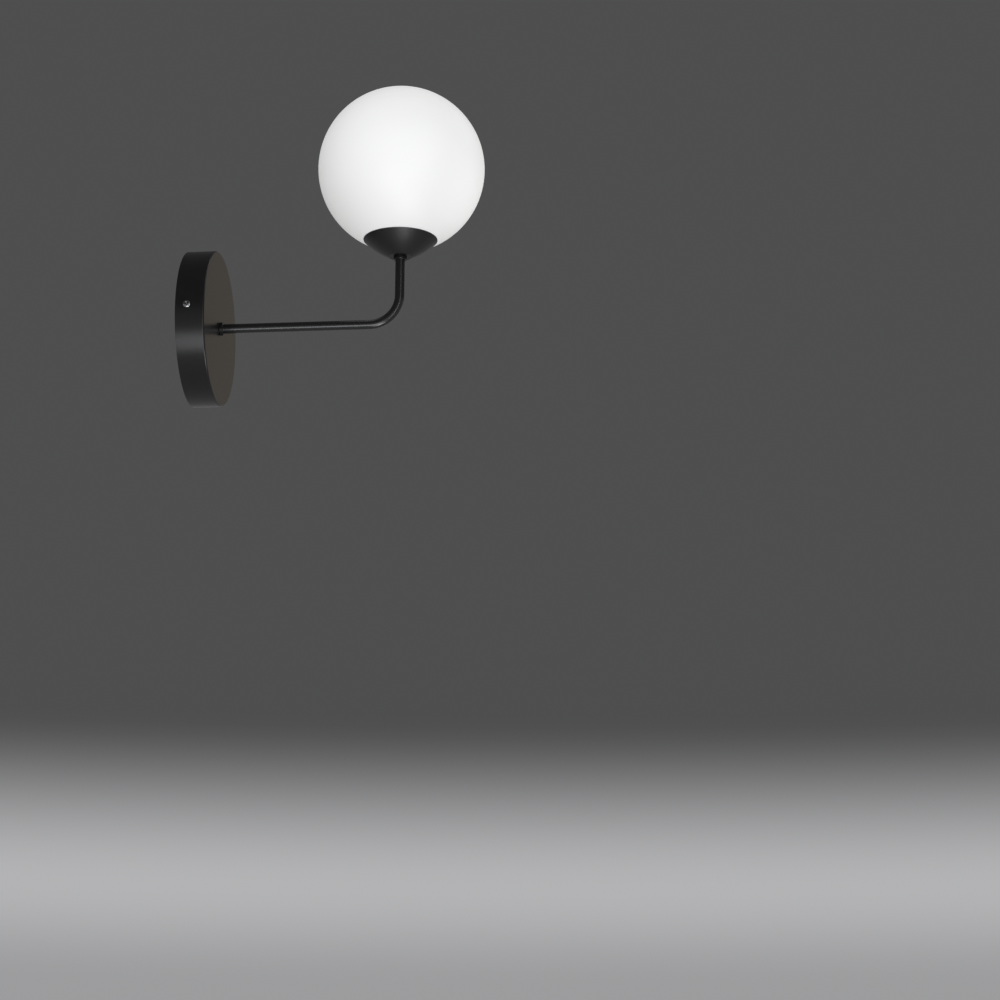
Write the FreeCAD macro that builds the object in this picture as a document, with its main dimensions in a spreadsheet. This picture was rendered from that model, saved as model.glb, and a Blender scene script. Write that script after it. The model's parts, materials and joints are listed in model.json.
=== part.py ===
import FreeCAD, Part

import math
import os
import re

import Sketcher
from FreeCAD import Placement, Rotation, Vector

# Globe wall sconce: a wall cup, a bent tube, a dish and an opal ball that pulls up off its spring fingers.
# The origin is on the wall, on the tube's level axis. X runs out from the wall and Z up. Sizes are in mm.

SIZES = {
    # Opal ball
    "globe_diameter": 140.0,
    "globe_wall": 3.0,
    "globe_height": 137.0,
    "globe_hole": 42.0,
    "globe_gap": 0.3,
    # Silicone ring on the ball's edge
    "grommet_sheet": 1.0,
    "grommet_lip": 3.0,
    "grommet_fit": 0.1,
    # Wall cup
    "canopy_diameter": 130.0,
    "canopy_depth": 24.0,
    "canopy_sheet": 1.2,
    "canopy_corner": 1.5,
    "canopy_inner_corner": 0.4,
    # Tube
    "arm_reach": 175.0,
    "tube_diameter": 8.0,
    "tube_wall": 1.0,
    "bend_radius": 25.0,
    "tube_tail": 8.0,
    "tube_neck": 9.4,
    # Clearances
    "thread_fit": 0.05,
    "hole_fit": 0.15,
    "sheet_fit": 0.3,
    # Collars, washers and nuts on the tube
    "collar_diameter": 11.2,
    "collar_length": 3.0,
    "collar_edge": 0.35,
    "washer_diameter": 15.0,
    "washer_sheet": 0.8,
    "washer_teeth": 10,
    "tooth_depth": 1.6,
    "tooth_gap": 1.4,
    "nut_across": 12.0,
    "nut_height": 3.0,
    "nut_chamfer": 0.5,
    "bush_lip": 0.8,
    "bush_length": 3.0,
    "bush_wall": 0.7,
    "bush_flange_inset": 0.2,
    "bush_fit": 0.1,
    # Dish
    "dish_rim": 62.0,
    "dish_depth": 15.0,
    "dish_sheet": 1.0,
    "dish_land": 1.9,
    "dish_seat": 19.0,
    "dish_seat_inset": 0.3,
    "dish_curve": 80.0,
    # Spring fingers: the crown and the top are measured up from the ring's throat, the knee from the hub
    "spring_sheet": 0.5,
    "spring_width": 6.0,
    "spring_count": 3,
    "spring_hub": 15.6,
    "spring_toe": 8.4,
    "spring_knee": 17.0,
    "spring_knee_rise": 6.0,
    "spring_reach": 3.0,
    "spring_throat_gap": 1.5,
    "spring_crown_rise": 5.48,
    "spring_top_rise": 13.98,
    "spring_bend": 2.5,
    "spring_overlap": 2.0,
    # Lampholder
    "holder_diameter": 27.0,
    "holder_wall": 1.6,
    "holder_neck": 13.0,
    "holder_neck_height": 4.5,
    "holder_shoulder": 4.5,
    "holder_shoulder_curve": 9.0,
    "holder_shoulder_inside": 0.6,
    "holder_cap_height": 15.0,
    "holder_flutes": 16,
    "holder_flute_depth": 0.5,
    "holder_flute_radius": 1.2,
    "holder_body_height": 29.0,
    "holder_rim_round": 1.0,
    "grub_diameter": 2.6,
    "grub_proud": 0.3,
    "grub_slot": 0.6,
    "grub_slot_depth": 0.8,
    "carrier_lift": 0.6,
    "carrier_height": 4.4,
    "carrier_ring_height": 3.6,
    "carrier_ring_wall": 1.35,
    "terminal_spacing": 3.6,
    "terminal_width": 4.0,
    "terminal_height": 4.6,
    "terminal_roof": 1.0,
    "terminal_screw": 2.4,
    "terminal_screw_length": 1.4,
    "shell_fit": 0.4,
    "shell_sheet": 0.4,
    "shell_height": 17.0,
    "shell_foot": 1.6,
    "contact_sheet": 0.4,
    "contact_width": 4.0,
    "contact_rise": 2.0,
    "contact_tail": 4.0,
    "contact_heel": 4.4,
    "contact_pad": 1.6,
    "contact_bend": 0.5,
    # Bulb
    "bulb_length": 100.0,
    "bulb_diameter": 35.0,
    "bulb_cap_diameter": 13.8,
    "bulb_cap_flare": 17.0,
    "bulb_cap_length": 25.0,
    "bulb_tip_diameter": 4.8,
    "bulb_tip_height": 1.0,
    "bulb_tip_face": 0.9,
    "bulb_tip_side": 0.4,
    "bulb_tip_round": 2.4,
    "bulb_ring_height": 3.0,
    "bulb_ring_face": 5.2,
    "bulb_cap_chamfer": 1.0,
    "bulb_flare_start": 18.0,
    "bulb_flare_rise": 3.0,
    "bulb_housing_top": 42.0,
    "bulb_housing_foot": 18.0,
    "bulb_housing_diameter": 31.0,
    "bulb_housing_curve": 40.0,
    "bulb_belly": 56.0,
    "bulb_seam": 0.3,
    "bulb_wall": 1.0,
    "bulb_belly_curve": 40.0,
    "bulb_taper_curve": 48.0,
    "bulb_shoulder": 7.0,
    "bulb_shoulder_drop": 11.0,
    "bulb_neck_curve": 60.0,
    "bulb_point": 2.2,
    "bulb_point_height": 1.2,
    "bulb_point_wall": 3.5,
    "bulb_inner_neck_curve": 14.0,
    "bulb_gap": 0.3,
    # Wall bracket
    "bracket_sheet": 1.5,
    "bracket_width": 20.0,
    "bracket_ear": 17.0,
    "bracket_bend": 1.5,
    "bracket_corner": 4.0,
    "slot_spacing": 60.0,
    "slot_length": 12.0,
    "slot_width": 4.5,
    "cable_hole": 12.0,
    "tab_width": 33.0,
    "tab_top": 43.0,
    "boss_diameter": 7.0,
    "boss_length": 1.5,
    # Side screws and their threads in the ears
    "screw_height": 9.8,
    "screw_diameter": 4.0,
    "screw_head": 6.4,
    "screw_head_height": 2.0,
    "screw_length": 7.0,
    # Shapes shared by the pan-head screws: straight side, flat crown and its round, as shares of the head
    "screw_point": 0.4,
    "head_side_share": 0.45,
    "head_flat_share": 0.55,
    "head_round_share": 0.75,
    # Terminal block
    "pole_pitch": 10.0,
    "pole_axis": 8.0,
    "block_bottom": 22.0,
    "block_height": 17.0,
    "block_base": 7.5,
    "block_margin": 1.2,
    "block_hump": 6.4,
    "block_hump_flat": 1.2,
    "block_front": 14.0,
    "insert_diameter": 4.4,
    "insert_bore": 2.4,
    "insert_fit": 0.1,
    "insert_inset": 1.0,
    "clamp_screw": 2.5,
    "clamp_spacing": 9.0,
    "clamp_sink": 0.9,
    "block_screw": 2.5,
    "block_screw_head": 3.2,
    "block_screw_head_height": 1.4,
    "screw_tip_gap": 0.2,
    # Earth connection
    "earth_offset": 15.0,
    "earth_screw": 4.0,
    "earth_head": 7.4,
    "earth_head_height": 2.4,
    "earth_washer": 9.0,
    "ring_sheet": 0.8,
    "ring_diameter": 8.0,
    "barrel_diameter": 2.6,
    "barrel_length": 5.0,
    "barrel_seat": 0.1,
    "barrel_overlap": 1.0,
    # Wires
    "wire_diameter": 1.6,
    "wire_spacing": 1.0,
    "wire_entry": 6.0,
    "wire_drop": 5.0,
    "wire_bend": 5.0,
    "wire_joggle": 3.0,
    "wire_joggle_start": 1.4,
    "wire_joggle_end": 1.0,
    "wire_grip": 3.0,
    "earth_drop": 4.0,
    "earth_lead": 3.5,
    "earth_grip": 1.0,
}

# Places that follow from the sizes. Heights are above the tube's level axis, radii from a piece's own axis.
PLACES = {
    "globe_radius": "globe_diameter / 2",
    "seat_radius": "globe_radius + globe_gap",
    "canopy_radius": "canopy_diameter / 2",
    "canopy_bore": "canopy_radius - canopy_sheet",
    "canopy_floor": "canopy_depth - canopy_sheet",
    "tube_radius": "tube_diameter / 2",
    "tube_bore": "tube_radius - tube_wall",
    "tube_start": "canopy_depth - tube_tail",
    "rim_height": "globe_height - sqrt(seat_radius ^ 2 - (dish_rim / 2) ^ 2)",
    "lip_radius": "dish_rim / 2 - dish_land",
    "lip_height": "globe_height - sqrt(seat_radius ^ 2 - lip_radius ^ 2)",
    "dish_bottom": "rim_height - dish_depth",
    "dish_floor": "dish_bottom + dish_sheet",
    "tube_top": "dish_floor + tube_neck",
    "nut_seat": "dish_floor + spring_sheet + washer_sheet",
    "holder_bottom": "nut_seat + nut_height",
    "holder_joint": "holder_bottom + holder_cap_height",
    "holder_bore": "holder_diameter / 2 - holder_wall",
    "carrier_top": "holder_joint + carrier_height",
    "bulb_bottom": "carrier_top + contact_sheet + contact_rise",
    "shell_bore": "bulb_cap_diameter + shell_fit",
    "shell_outer": "shell_bore / 2 + shell_sheet",
    "holder_mouth": "(shell_outer + thread_fit + carrier_ring_wall + sheet_fit) * 2",
    "throat_radius": "globe_hole / 2 - grommet_fit - grommet_sheet",
    "ring_inside": "globe_radius - globe_wall - grommet_fit - grommet_sheet",
    "throat_top": "globe_height - sqrt(ring_inside ^ 2 - throat_radius ^ 2)",
    "hub_middle": "dish_floor + spring_sheet / 2",
    "throat_rise": "throat_top - hub_middle",
    "ear_face": "sqrt(canopy_bore ^ 2 - (bracket_width / 2) ^ 2) - sheet_fit",
    "tab_middle": "block_bottom + block_height / 2",
    "thread_radius": "tube_radius + thread_fit",
    "barrel_rise": "barrel_diameter / 2 + barrel_seat",
    "block_face": "bracket_sheet + block_base",
    "finger_root": "spring_hub / 2 - spring_overlap",
    "barrel_axis": "bracket_sheet + barrel_rise",
    "barrel_bottom": "earth_washer / 2 + hole_fit",
}

# Lengths closer than this count as the same, in mm
NEAR = 0.001
# A swept wire's volume may differ from its section times its length by this share
SWEPT_SHARE = 0.01

doc = FreeCAD.newDocument("GlobeWallSconce")
sheet = doc.addObject("Spreadsheet::Sheet", "Sizes")
for row, (alias, number) in enumerate(SIZES.items(), start=1):
    sheet.set(f"A{row}", alias)
    sheet.set(f"B{row}", str(number))
    sheet.setAlias(f"B{row}", alias)
doc.recompute()


def bound(text):
    """Return an expression whose words are read from the sheet and from the places."""

    def source(word):
        if word[0] in SIZES:
            return "Sizes." + word[0]
        if word[0] in PLACES:
            return "Places." + word[0]
        return word[0]

    return re.sub(r"[a-z][a-z_]+", source, text)


places = doc.addObject("App::VarSet", "Places")
for place in PLACES:
    places.addProperty("App::PropertyFloat", place, "Places", "")
for place, formula in PLACES.items():
    places.setExpression(place, bound(formula))
doc.recompute()

subparts = {}


def size(text):
    """Return the number that an expression gives."""
    return float(places.evalExpression(bound(text)))


def keep(label, piece):
    """Name a finished sub-part, which is written to a file of that name."""
    piece.Label = label
    subparts[label] = piece
    return piece


def new_body(label, east="0", up="0"):
    """Return a kept body that stands at the given place in the plane of the arm."""
    body = doc.addObject("PartDesign::Body", label)
    body.setExpression("Placement.Base.x", bound(east))
    body.setExpression("Placement.Base.z", bound(up))
    return keep(label, body)


def new_sketch(body, name, plane, offset="0"):
    """Return an empty sketch on one of the body's origin planes, moved along the plane's normal."""
    sketch = body.newObject("Sketcher::SketchObject", f"{body.Name}_{name}")
    support = next(f for f in body.Origin.OriginFeatures if f.Role == plane)
    sketch.AttachmentSupport = (support, [""])
    sketch.MapMode = "FlatFace"
    sketch.setExpression("AttachmentOffset.Base.z", bound(offset))
    return sketch


def tie(sketch, kind, references, text):
    """Add a constraint to a sketch and bind its size to an expression."""
    index = sketch.addConstraint(Sketcher.Constraint(kind, *references, size(text)))
    sketch.setExpression(f"Constraints[{index}]", bound(text))


def pin(sketch, index, end, x, y):
    """Hold one end or centre of a sketch's curve at a place."""
    for kind, axis, text in (("DistanceX", -2, x), ("DistanceY", -1, y)):
        if text == "0":
            sketch.addConstraint(Sketcher.Constraint("PointOnObject", index, end, axis))
        else:
            tie(sketch, kind, (-1, 1, index, end), text)


def curve_between(start, finish, radius):
    """Return an arc from start to finish, and its end numbers. A negative radius bends it clockwise."""
    middle = (start + finish) / 2
    chord = finish - start
    height = math.sqrt(max(radius ** 2 - chord.Length ** 2 / 4, 0))
    normal = Vector(-chord.y, chord.x, 0) / chord.Length
    turn = 1 if radius > 0 else -1
    centre = middle + normal * height * turn
    first, last = (start, finish) if turn > 0 else (finish, start)
    low = math.atan2(first.y - centre.y, first.x - centre.x)
    high = math.atan2(last.y - centre.y, last.x - centre.x)
    if high < low:
        high += 2 * math.pi
    circle = Part.Circle(centre, Vector(0, 0, 1), abs(radius))
    return Part.ArcOfCircle(circle, low, high), ((1, 2) if turn > 0 else (2, 1))


def draw_outline(sketch, corners, closed=True):
    """Draw lines and arcs through corners: x, y and, where an arc leads to the corner, its radius."""
    spots = [Vector(size(corner[0]), size(corner[1]), 0) for corner in corners]
    base = sketch.GeometryCount
    ends = []
    first_leg = 0 if closed else 1
    for index in range(first_leg, len(corners)):
        start, finish = spots[index - 1], spots[index]
        if len(corners[index]) == 2:
            sketch.addGeometry(Part.LineSegment(start, finish))
            ends.append((1, 2))
        else:
            curve, pair = curve_between(start, finish, size(corners[index][2]))
            sketch.addGeometry(curve)
            ends.append(pair)
    count = len(ends)
    for leg in range(count if closed else count - 1):
        after = (leg + 1) % count
        joined = (base + leg, ends[leg][1], base + after, ends[after][0])
        sketch.addConstraint(Sketcher.Constraint("Coincident", *joined))
    for leg in range(count):
        corner = corners[leg + first_leg]
        pin(sketch, base + leg, ends[leg][1], corner[0], corner[1])
        if len(corner) == 3:
            tie(sketch, "Radius", (base + leg,), corner[2].lstrip("-"))
    if not closed:
        pin(sketch, base, ends[0][0], corners[0][0], corners[0][1])


def draw_circle(sketch, x, y, radius):
    """Draw a full circle."""
    index = sketch.addGeometry(Part.Circle(Vector(size(x), size(y), 0), Vector(0, 0, 1), size(radius)))
    pin(sketch, index, 3, x, y)
    tie(sketch, "Radius", (index,), radius)


def draw_rectangle(sketch, left, bottom, right, top):
    """Draw a rectangle between two corners."""
    draw_outline(sketch, [(left, bottom), (right, bottom), (right, top), (left, top)])


def revolve(body, name, corners, plane="XZ_Plane", axis="V_Axis"):
    """Turn an outline about a sketch axis: the upright one, or H_Axis for pieces that lie along X."""
    sketch = new_sketch(body, name, plane)
    draw_outline(sketch, corners)
    turned = body.newObject("PartDesign::Revolution", f"{body.Name}_{name}_turned")
    turned.Profile = sketch
    turned.ReferenceAxis = (sketch, [axis])
    turned.Angle = 360
    doc.recompute()
    return turned


def pad(body, sketch, length, both_ways=False, backwards=False):
    """Raise a sketch into the body."""
    raised = body.newObject("PartDesign::Pad", f"{sketch.Name}_pad")
    raised.Profile = sketch
    raised.setExpression("Length", bound(length))
    raised.SideType = "Symmetric" if both_ways else "One side"
    raised.Reversed = backwards
    doc.recompute()
    return raised


def pocket(body, sketch, length, both_ways=False, backwards=False):
    """Cut a sketch out of the body, and check that it cut something."""
    before = body.Shape.Volume
    cut = body.newObject("PartDesign::Pocket", f"{sketch.Name}_cut")
    cut.Profile = sketch
    cut.setExpression("Length", bound(length))
    cut.SideType = "Symmetric" if both_ways else "One side"
    cut.Reversed = backwards
    doc.recompute()
    if body.Shape.Volume >= before:
        raise ValueError(f"{cut.Name} cuts nothing")
    return cut


def edges(body, test):
    """Return the names of the body's edges whose middle and length pass a test."""
    names = []
    for number, edge in enumerate(body.Shape.Edges, start=1):
        middle = edge.valueAt((edge.FirstParameter + edge.LastParameter) / 2)
        if test(middle, edge.Length):
            names.append(f"Edge{number}")
    return names


def dress(body, kind, names, amount):
    """Fillet or chamfer edges of the body's last feature."""
    base = body.Tip
    feature = body.newObject(f"PartDesign::{kind}", f"{base.Name}_{kind.lower()}")
    feature.Base = (base, names)
    feature.setExpression("Radius" if kind == "Fillet" else "Size", bound(amount))
    doc.recompute()
    return feature


def pattern(body, features, count):
    """Repeat features evenly round the body's upright axis."""
    repeat = body.newObject("PartDesign::PolarPattern", f"{features[0].Name}_round")
    repeat.Originals = features
    axis = next(f for f in body.Origin.OriginFeatures if f.Role == "Z_Axis")
    repeat.Axis = (axis, [""])
    repeat.Angle = 360
    repeat.setExpression("Occurrences", bound(count))
    body.Tip = repeat
    doc.recompute()
    return repeat


def mirror(body, features, plane="XZ_Plane"):
    """Repeat features on the other side of one of the body's origin planes."""
    repeat = body.newObject("PartDesign::Mirrored", f"{features[0].Name}_mirrored")
    repeat.Originals = features
    support = next(f for f in body.Origin.OriginFeatures if f.Role == plane)
    repeat.MirrorPlane = (support, [""])
    body.Tip = repeat
    doc.recompute()
    return repeat


def lay_along_x(body):
    """Turn a body so that its upright axis lies along X."""
    body.Placement = Placement(body.Placement.Base, Rotation(Vector(0, 1, 0), 90))
    return body


# Opal ball and the silicone ring on its edge

def make_globe():
    """Blow the ball: a thin shell with a round hole at the bottom."""
    body = new_body("globe", "arm_reach", "globe_height")
    inner = "globe_radius - globe_wall"
    hole = "globe_hole / 2"
    revolve(body, "shell", [
        (hole, f"-sqrt(globe_radius ^ 2 - ({hole}) ^ 2)"),
        ("0", "globe_radius", "globe_radius"),
        ("0", inner),
        (hole, f"-sqrt(({inner}) ^ 2 - ({hole}) ^ 2)", f"-({inner})"),
    ])


def make_grommet():
    """Mould the ring: a channel that grips the glass edge from inside and outside."""
    body = new_body("globe_grommet", "arm_reach", "globe_height")
    throat = "throat_radius"
    web = "globe_hole / 2 - grommet_fit"
    lip = "globe_hole / 2 + grommet_lip"
    outer = "(globe_radius + grommet_fit)"
    inner = "(globe_radius - globe_wall - grommet_fit)"

    def on_ball(radius, out):
        """Return the height where a ball of a radius passes the lower edge at a distance out."""
        return f"-sqrt({radius} ^ 2 - ({out}) ^ 2)"

    revolve(body, "channel", [
        (throat, on_ball("(globe_radius + grommet_fit + grommet_sheet)", throat)),
        (lip, on_ball("(globe_radius + grommet_fit + grommet_sheet)", lip)),
        (lip, on_ball(outer, lip)),
        (web, on_ball(outer, web)),
        (web, on_ball(inner, web)),
        (lip, on_ball(inner, lip)),
        (lip, on_ball("ring_inside", lip)),
        (throat, on_ball("ring_inside", throat)),
    ])


# Wall cup and what holds it

def make_canopy():
    """Press the cup: open towards the wall, with a hole for the tube and one for each side screw."""
    body = new_body("canopy")
    hole = "tube_radius + hole_fit"
    revolve(body, "cup", [
        ("0", "canopy_bore"),
        ("canopy_floor - canopy_inner_corner", "canopy_bore"),
        ("canopy_floor", "canopy_bore - canopy_inner_corner", "-canopy_inner_corner"),
        ("canopy_floor", hole),
        ("canopy_depth", hole),
        ("canopy_depth", "canopy_radius - canopy_corner"),
        ("canopy_depth - canopy_corner", "canopy_radius", "canopy_corner"),
        ("0", "canopy_radius"),
    ], plane="XY_Plane", axis="H_Axis")
    sketch = new_sketch(body, "side_holes", "XZ_Plane")
    draw_circle(sketch, "screw_height", "0", "screw_diameter / 2 + hole_fit")
    pocket(body, sketch, "canopy_diameter + canopy_sheet", both_ways=True)


def make_bracket():
    """Stamp and bend the bracket: a slotted strip along Y, a tab above it and an ear at each end."""
    body = new_body("wall_bracket")
    sketch = new_sketch(body, "strip", "XY_Plane")
    bend = "bracket_bend"
    outer = "bracket_bend + bracket_sheet"
    draw_outline(sketch, [
        ("0", f"{outer} - ear_face"),
        (outer, "-ear_face", outer),
        ("bracket_ear", "-ear_face"),
        ("bracket_ear", "bracket_sheet - ear_face"),
        (outer, "bracket_sheet - ear_face"),
        ("bracket_sheet", f"{outer} - ear_face", f"-{bend}"),
        ("bracket_sheet", f"ear_face - ({outer})"),
        (outer, "ear_face - bracket_sheet", f"-{bend}"),
        ("bracket_ear", "ear_face - bracket_sheet"),
        ("bracket_ear", "ear_face"),
        (outer, "ear_face"),
        ("0", f"ear_face - ({outer})", outer),
    ])
    pad(body, sketch, "bracket_width", both_ways=True)

    sketch = new_sketch(body, "tab", "YZ_Plane")
    draw_rectangle(sketch, "-tab_width / 2", "0", "tab_width / 2", "tab_top")
    pad(body, sketch, "bracket_sheet")
    tab_top = size("tab_top")
    ear = size("bracket_ear")
    sheet_edge = size("bracket_sheet")
    corners = edges(body, lambda middle, length: abs(length - sheet_edge) < NEAR and (
        abs(middle.z - tab_top) < NEAR or abs(middle.x - ear) < NEAR))
    dress(body, "Fillet", corners, "bracket_corner")

    straight = "(slot_length - slot_width) / 2"
    middles = ("slot_spacing / 2", "-slot_spacing / 2")
    sketch = new_sketch(body, "slots", "YZ_Plane")
    for middle in middles:
        left, right = f"{middle} - {straight}", f"{middle} + {straight}"
        draw_rectangle(sketch, left, "-slot_width / 2", right, "slot_width / 2")
    pocket(body, sketch, "bracket_sheet", backwards=True)
    sketch = new_sketch(body, "slot_ends", "YZ_Plane")
    for middle in middles:
        for end in ("+", "-"):
            draw_circle(sketch, f"{middle} {end} {straight}", "0", "slot_width / 2")
    pocket(body, sketch, "bracket_sheet", backwards=True)

    sketch = new_sketch(body, "holes", "YZ_Plane")
    draw_circle(sketch, "0", "0", "cable_hole / 2")
    draw_circle(sketch, "earth_offset", "0", "earth_screw / 2 + thread_fit")
    for side in ("", "-"):
        draw_circle(sketch, f"{side}pole_pitch / 2", "tab_middle", "block_screw / 2 + thread_fit")
    pocket(body, sketch, "bracket_sheet", backwards=True)

    sketch = new_sketch(body, "boss", "XZ_Plane", "bracket_sheet / 2 - ear_face")
    draw_circle(sketch, "screw_height", "0", "boss_diameter / 2")
    boss = pad(body, sketch, "bracket_sheet / 2 + boss_length")
    mirror(body, [boss])
    sketch = new_sketch(body, "ear_holes", "XZ_Plane")
    draw_circle(sketch, "screw_height", "0", "screw_diameter / 2 + thread_fit")
    pocket(body, sketch, "ear_face * 2", both_ways=True)


def pan_outline(shank, head, head_height, seat, point):
    """Return the half outline of a pan-head screw: its head stands on a seat, its shank ends at a point."""
    return [
        ("0", point),
        (f"{shank} - screw_point", point),
        (shank, f"{point} + screw_point"),
        (shank, seat),
        (head, seat),
        (head, f"{seat} + {head_height} * head_side_share"),
        (f"{head} * head_flat_share", f"{seat} + {head_height}", f"{head} * head_round_share"),
        ("0", f"{seat} + {head_height}"),
    ]


def make_canopy_screws():
    """Turn the two side screws, one through each side of the cup."""
    body = new_body("canopy_screws", "screw_height")
    point = "canopy_radius - screw_length"
    outline = pan_outline("screw_diameter / 2", "screw_head / 2", "screw_head_height", "canopy_radius", point)
    screw = revolve(body, "profile", outline, plane="XY_Plane")
    mirror(body, [screw])


# Tube and what clamps it

def make_tube():
    """Bend the tube: level from the wall cup, one round elbow, and up into the lampholder."""
    body = new_body("arm_tube")
    path = new_sketch(body, "path", "XZ_Plane")
    draw_outline(path, [
        ("tube_start", "0"),
        ("arm_reach - bend_radius", "0"),
        ("arm_reach", "bend_radius", "bend_radius"),
        ("arm_reach", "tube_top"),
    ], closed=False)
    ring = new_sketch(body, "ring", "YZ_Plane", "tube_start")
    draw_circle(ring, "0", "0", "tube_radius")
    draw_circle(ring, "0", "0", "tube_bore")
    pipe = body.newObject("PartDesign::AdditivePipe", "arm_tube_pipe")
    pipe.Profile = ring
    pipe.Spine = path
    doc.recompute()


def make_collar(label, east, up, level):
    """Turn a collar that hides the hole where the tube leaves a sheet."""
    body = new_body(label, east, up)
    revolve(body, "ring", [
        ("thread_radius", "0"),
        ("collar_diameter / 2 - collar_edge", "0"),
        ("collar_diameter / 2", "collar_edge"),
        ("collar_diameter / 2", "collar_length - collar_edge"),
        ("collar_diameter / 2 - collar_edge", "collar_length"),
        ("thread_radius", "collar_length"),
    ])
    return lay_along_x(body) if level else body


def make_washer(label, east, up, level):
    """Stamp a washer with teeth round its edge."""
    body = new_body(label, east, up)
    sketch = new_sketch(body, "ring", "XY_Plane")
    draw_circle(sketch, "0", "0", "washer_diameter / 2")
    draw_circle(sketch, "0", "0", "tube_radius + hole_fit")
    pad(body, sketch, "washer_sheet")
    sketch = new_sketch(body, "notch", "XY_Plane")
    rim = "washer_diameter / 2"
    draw_rectangle(sketch, f"{rim} - tooth_depth", "-tooth_gap / 2", f"{rim} + tooth_depth", "tooth_gap / 2")
    notch = pocket(body, sketch, "washer_sheet", backwards=True)
    pattern(body, [notch], "washer_teeth")
    return lay_along_x(body) if level else body


def make_nut(label, east, up, level):
    """Make a thin hexagon nut with chamfered corners."""
    body = new_body(label, east, up)
    sketch = new_sketch(body, "hexagon", "XY_Plane")
    across_corners = "nut_across / 2 / cos(30)"
    draw_outline(sketch, [
        (f"{across_corners} * cos({60 * corner + 30})", f"{across_corners} * sin({60 * corner + 30})")
        if corner not in (1, 4) else ("0", f"{across_corners} * {1 if corner == 1 else -1}")
        for corner in range(6)
    ])
    pad(body, sketch, "nut_height")
    sketch = new_sketch(body, "bore", "XY_Plane")
    draw_circle(sketch, "0", "0", "thread_radius")
    pocket(body, sketch, "nut_height", backwards=True)
    slope = new_sketch(body, "chamfer", "XZ_Plane")
    draw_outline(slope, [
        (f"{across_corners} - nut_chamfer * 2", "nut_height"),
        (across_corners, "nut_height - nut_chamfer"),
        (f"{across_corners} + nut_chamfer", "nut_height"),
    ])
    groove = body.newObject("PartDesign::Groove", f"{label}_groove")
    groove.Profile = slope
    groove.ReferenceAxis = (slope, ["V_Axis"])
    groove.Angle = 360
    doc.recompute()
    return lay_along_x(body) if level else body


def make_bushes():
    """Mould the bushes that keep the wires off the tube's cut ends."""
    body = new_body("tube_bushes")
    outer = "tube_bore - bush_fit"
    bore = "tube_bore - bush_wall"
    revolve(body, "level", [
        ("tube_start - bush_lip", bore),
        ("tube_start + bush_length", bore),
        ("tube_start + bush_length", outer),
        ("tube_start", outer),
        ("tube_start", "tube_radius - bush_flange_inset"),
        ("tube_start - bush_lip", "tube_radius - bush_flange_inset"),
    ], plane="XY_Plane", axis="H_Axis")
    sketch = new_sketch(body, "upright", "XZ_Plane")
    flange = "arm_reach + tube_radius - bush_flange_inset"
    draw_outline(sketch, [
        (f"arm_reach + {bore}", "tube_top + bush_lip"),
        (f"arm_reach + {bore}", "tube_top - bush_length"),
        (f"arm_reach + {outer}", "tube_top - bush_length"),
        (f"arm_reach + {outer}", "tube_top"),
        (flange, "tube_top"),
        (flange, "tube_top + bush_lip"),
    ])
    ends = [Vector(size("arm_reach"), size(height), 0) for height in ("0", "bend_radius")]
    axis = sketch.addGeometry(Part.LineSegment(*ends), True)
    pin(sketch, axis, 1, "arm_reach", "0")
    pin(sketch, axis, 2, "arm_reach", "bend_radius")
    turned = body.newObject("PartDesign::Revolution", "tube_bushes_upright_turned")
    turned.Profile = sketch
    turned.ReferenceAxis = (sketch, ["Axis0"])
    turned.Angle = 360
    doc.recompute()


# Dish and the sprung fingers that hold the ball

def make_dish():
    """Press the dish: a flat seat, a shallow curve and a rim that follows the ball."""
    body = new_body("globe_dish", "arm_reach", "dish_bottom")
    revolve(body, "bowl", [
        ("tube_radius + hole_fit", "0"),
        ("dish_seat / 2", "0"),
        ("dish_rim / 2", "dish_depth", "dish_curve"),
        ("lip_radius", "lip_height - dish_bottom"),
        ("dish_seat / 2 - dish_seat_inset", "dish_sheet", "-(dish_curve - dish_sheet)"),
        ("tube_radius + hole_fit", "dish_sheet"),
    ])


def make_springs():
    """Stamp and bend the holder: a hub under the nut and three sprung fingers that reach up through the hole.

    Each finger is a flat strip swept along one line of bends: out along the dish, up through the ball's
    hole, outwards over its edge and back in to a lead-in tip.
    """
    body = new_body("globe_springs", "arm_reach", "hub_middle")
    sketch = new_sketch(body, "hub", "XY_Plane")
    draw_circle(sketch, "0", "0", "spring_hub / 2")
    pad(body, sketch, "spring_sheet", both_ways=True)

    throat = "throat_radius - spring_throat_gap"
    crown = "throat_radius + spring_reach"
    crown_rise = "(throat_rise + spring_crown_rise)"
    waypoints = [
        ("finger_root", "0"),
        ("spring_toe", "0"),
        ("spring_knee", "spring_knee_rise"),
        (throat, f"(spring_knee_rise + {crown_rise}) / 2"),
        (crown, crown_rise),
        (throat, "throat_rise + spring_top_rise"),
    ]
    path = new_sketch(body, "finger_path", "XZ_Plane")
    bent_line(path, waypoints, "spring_bend")
    strip = new_sketch(body, "finger_strip", "YZ_Plane", "finger_root")
    draw_rectangle(strip, "-spring_width / 2", "-spring_sheet / 2", "spring_width / 2", "spring_sheet / 2")
    finger = body.newObject("PartDesign::AdditivePipe", "globe_springs_finger")
    finger.Profile = strip
    finger.Spine = path
    doc.recompute()
    pattern(body, [finger], "spring_count")

    sketch = new_sketch(body, "bore", "XY_Plane")
    draw_circle(sketch, "0", "0", "tube_radius + hole_fit")
    pocket(body, sketch, "spring_sheet * 2", both_ways=True)


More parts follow.
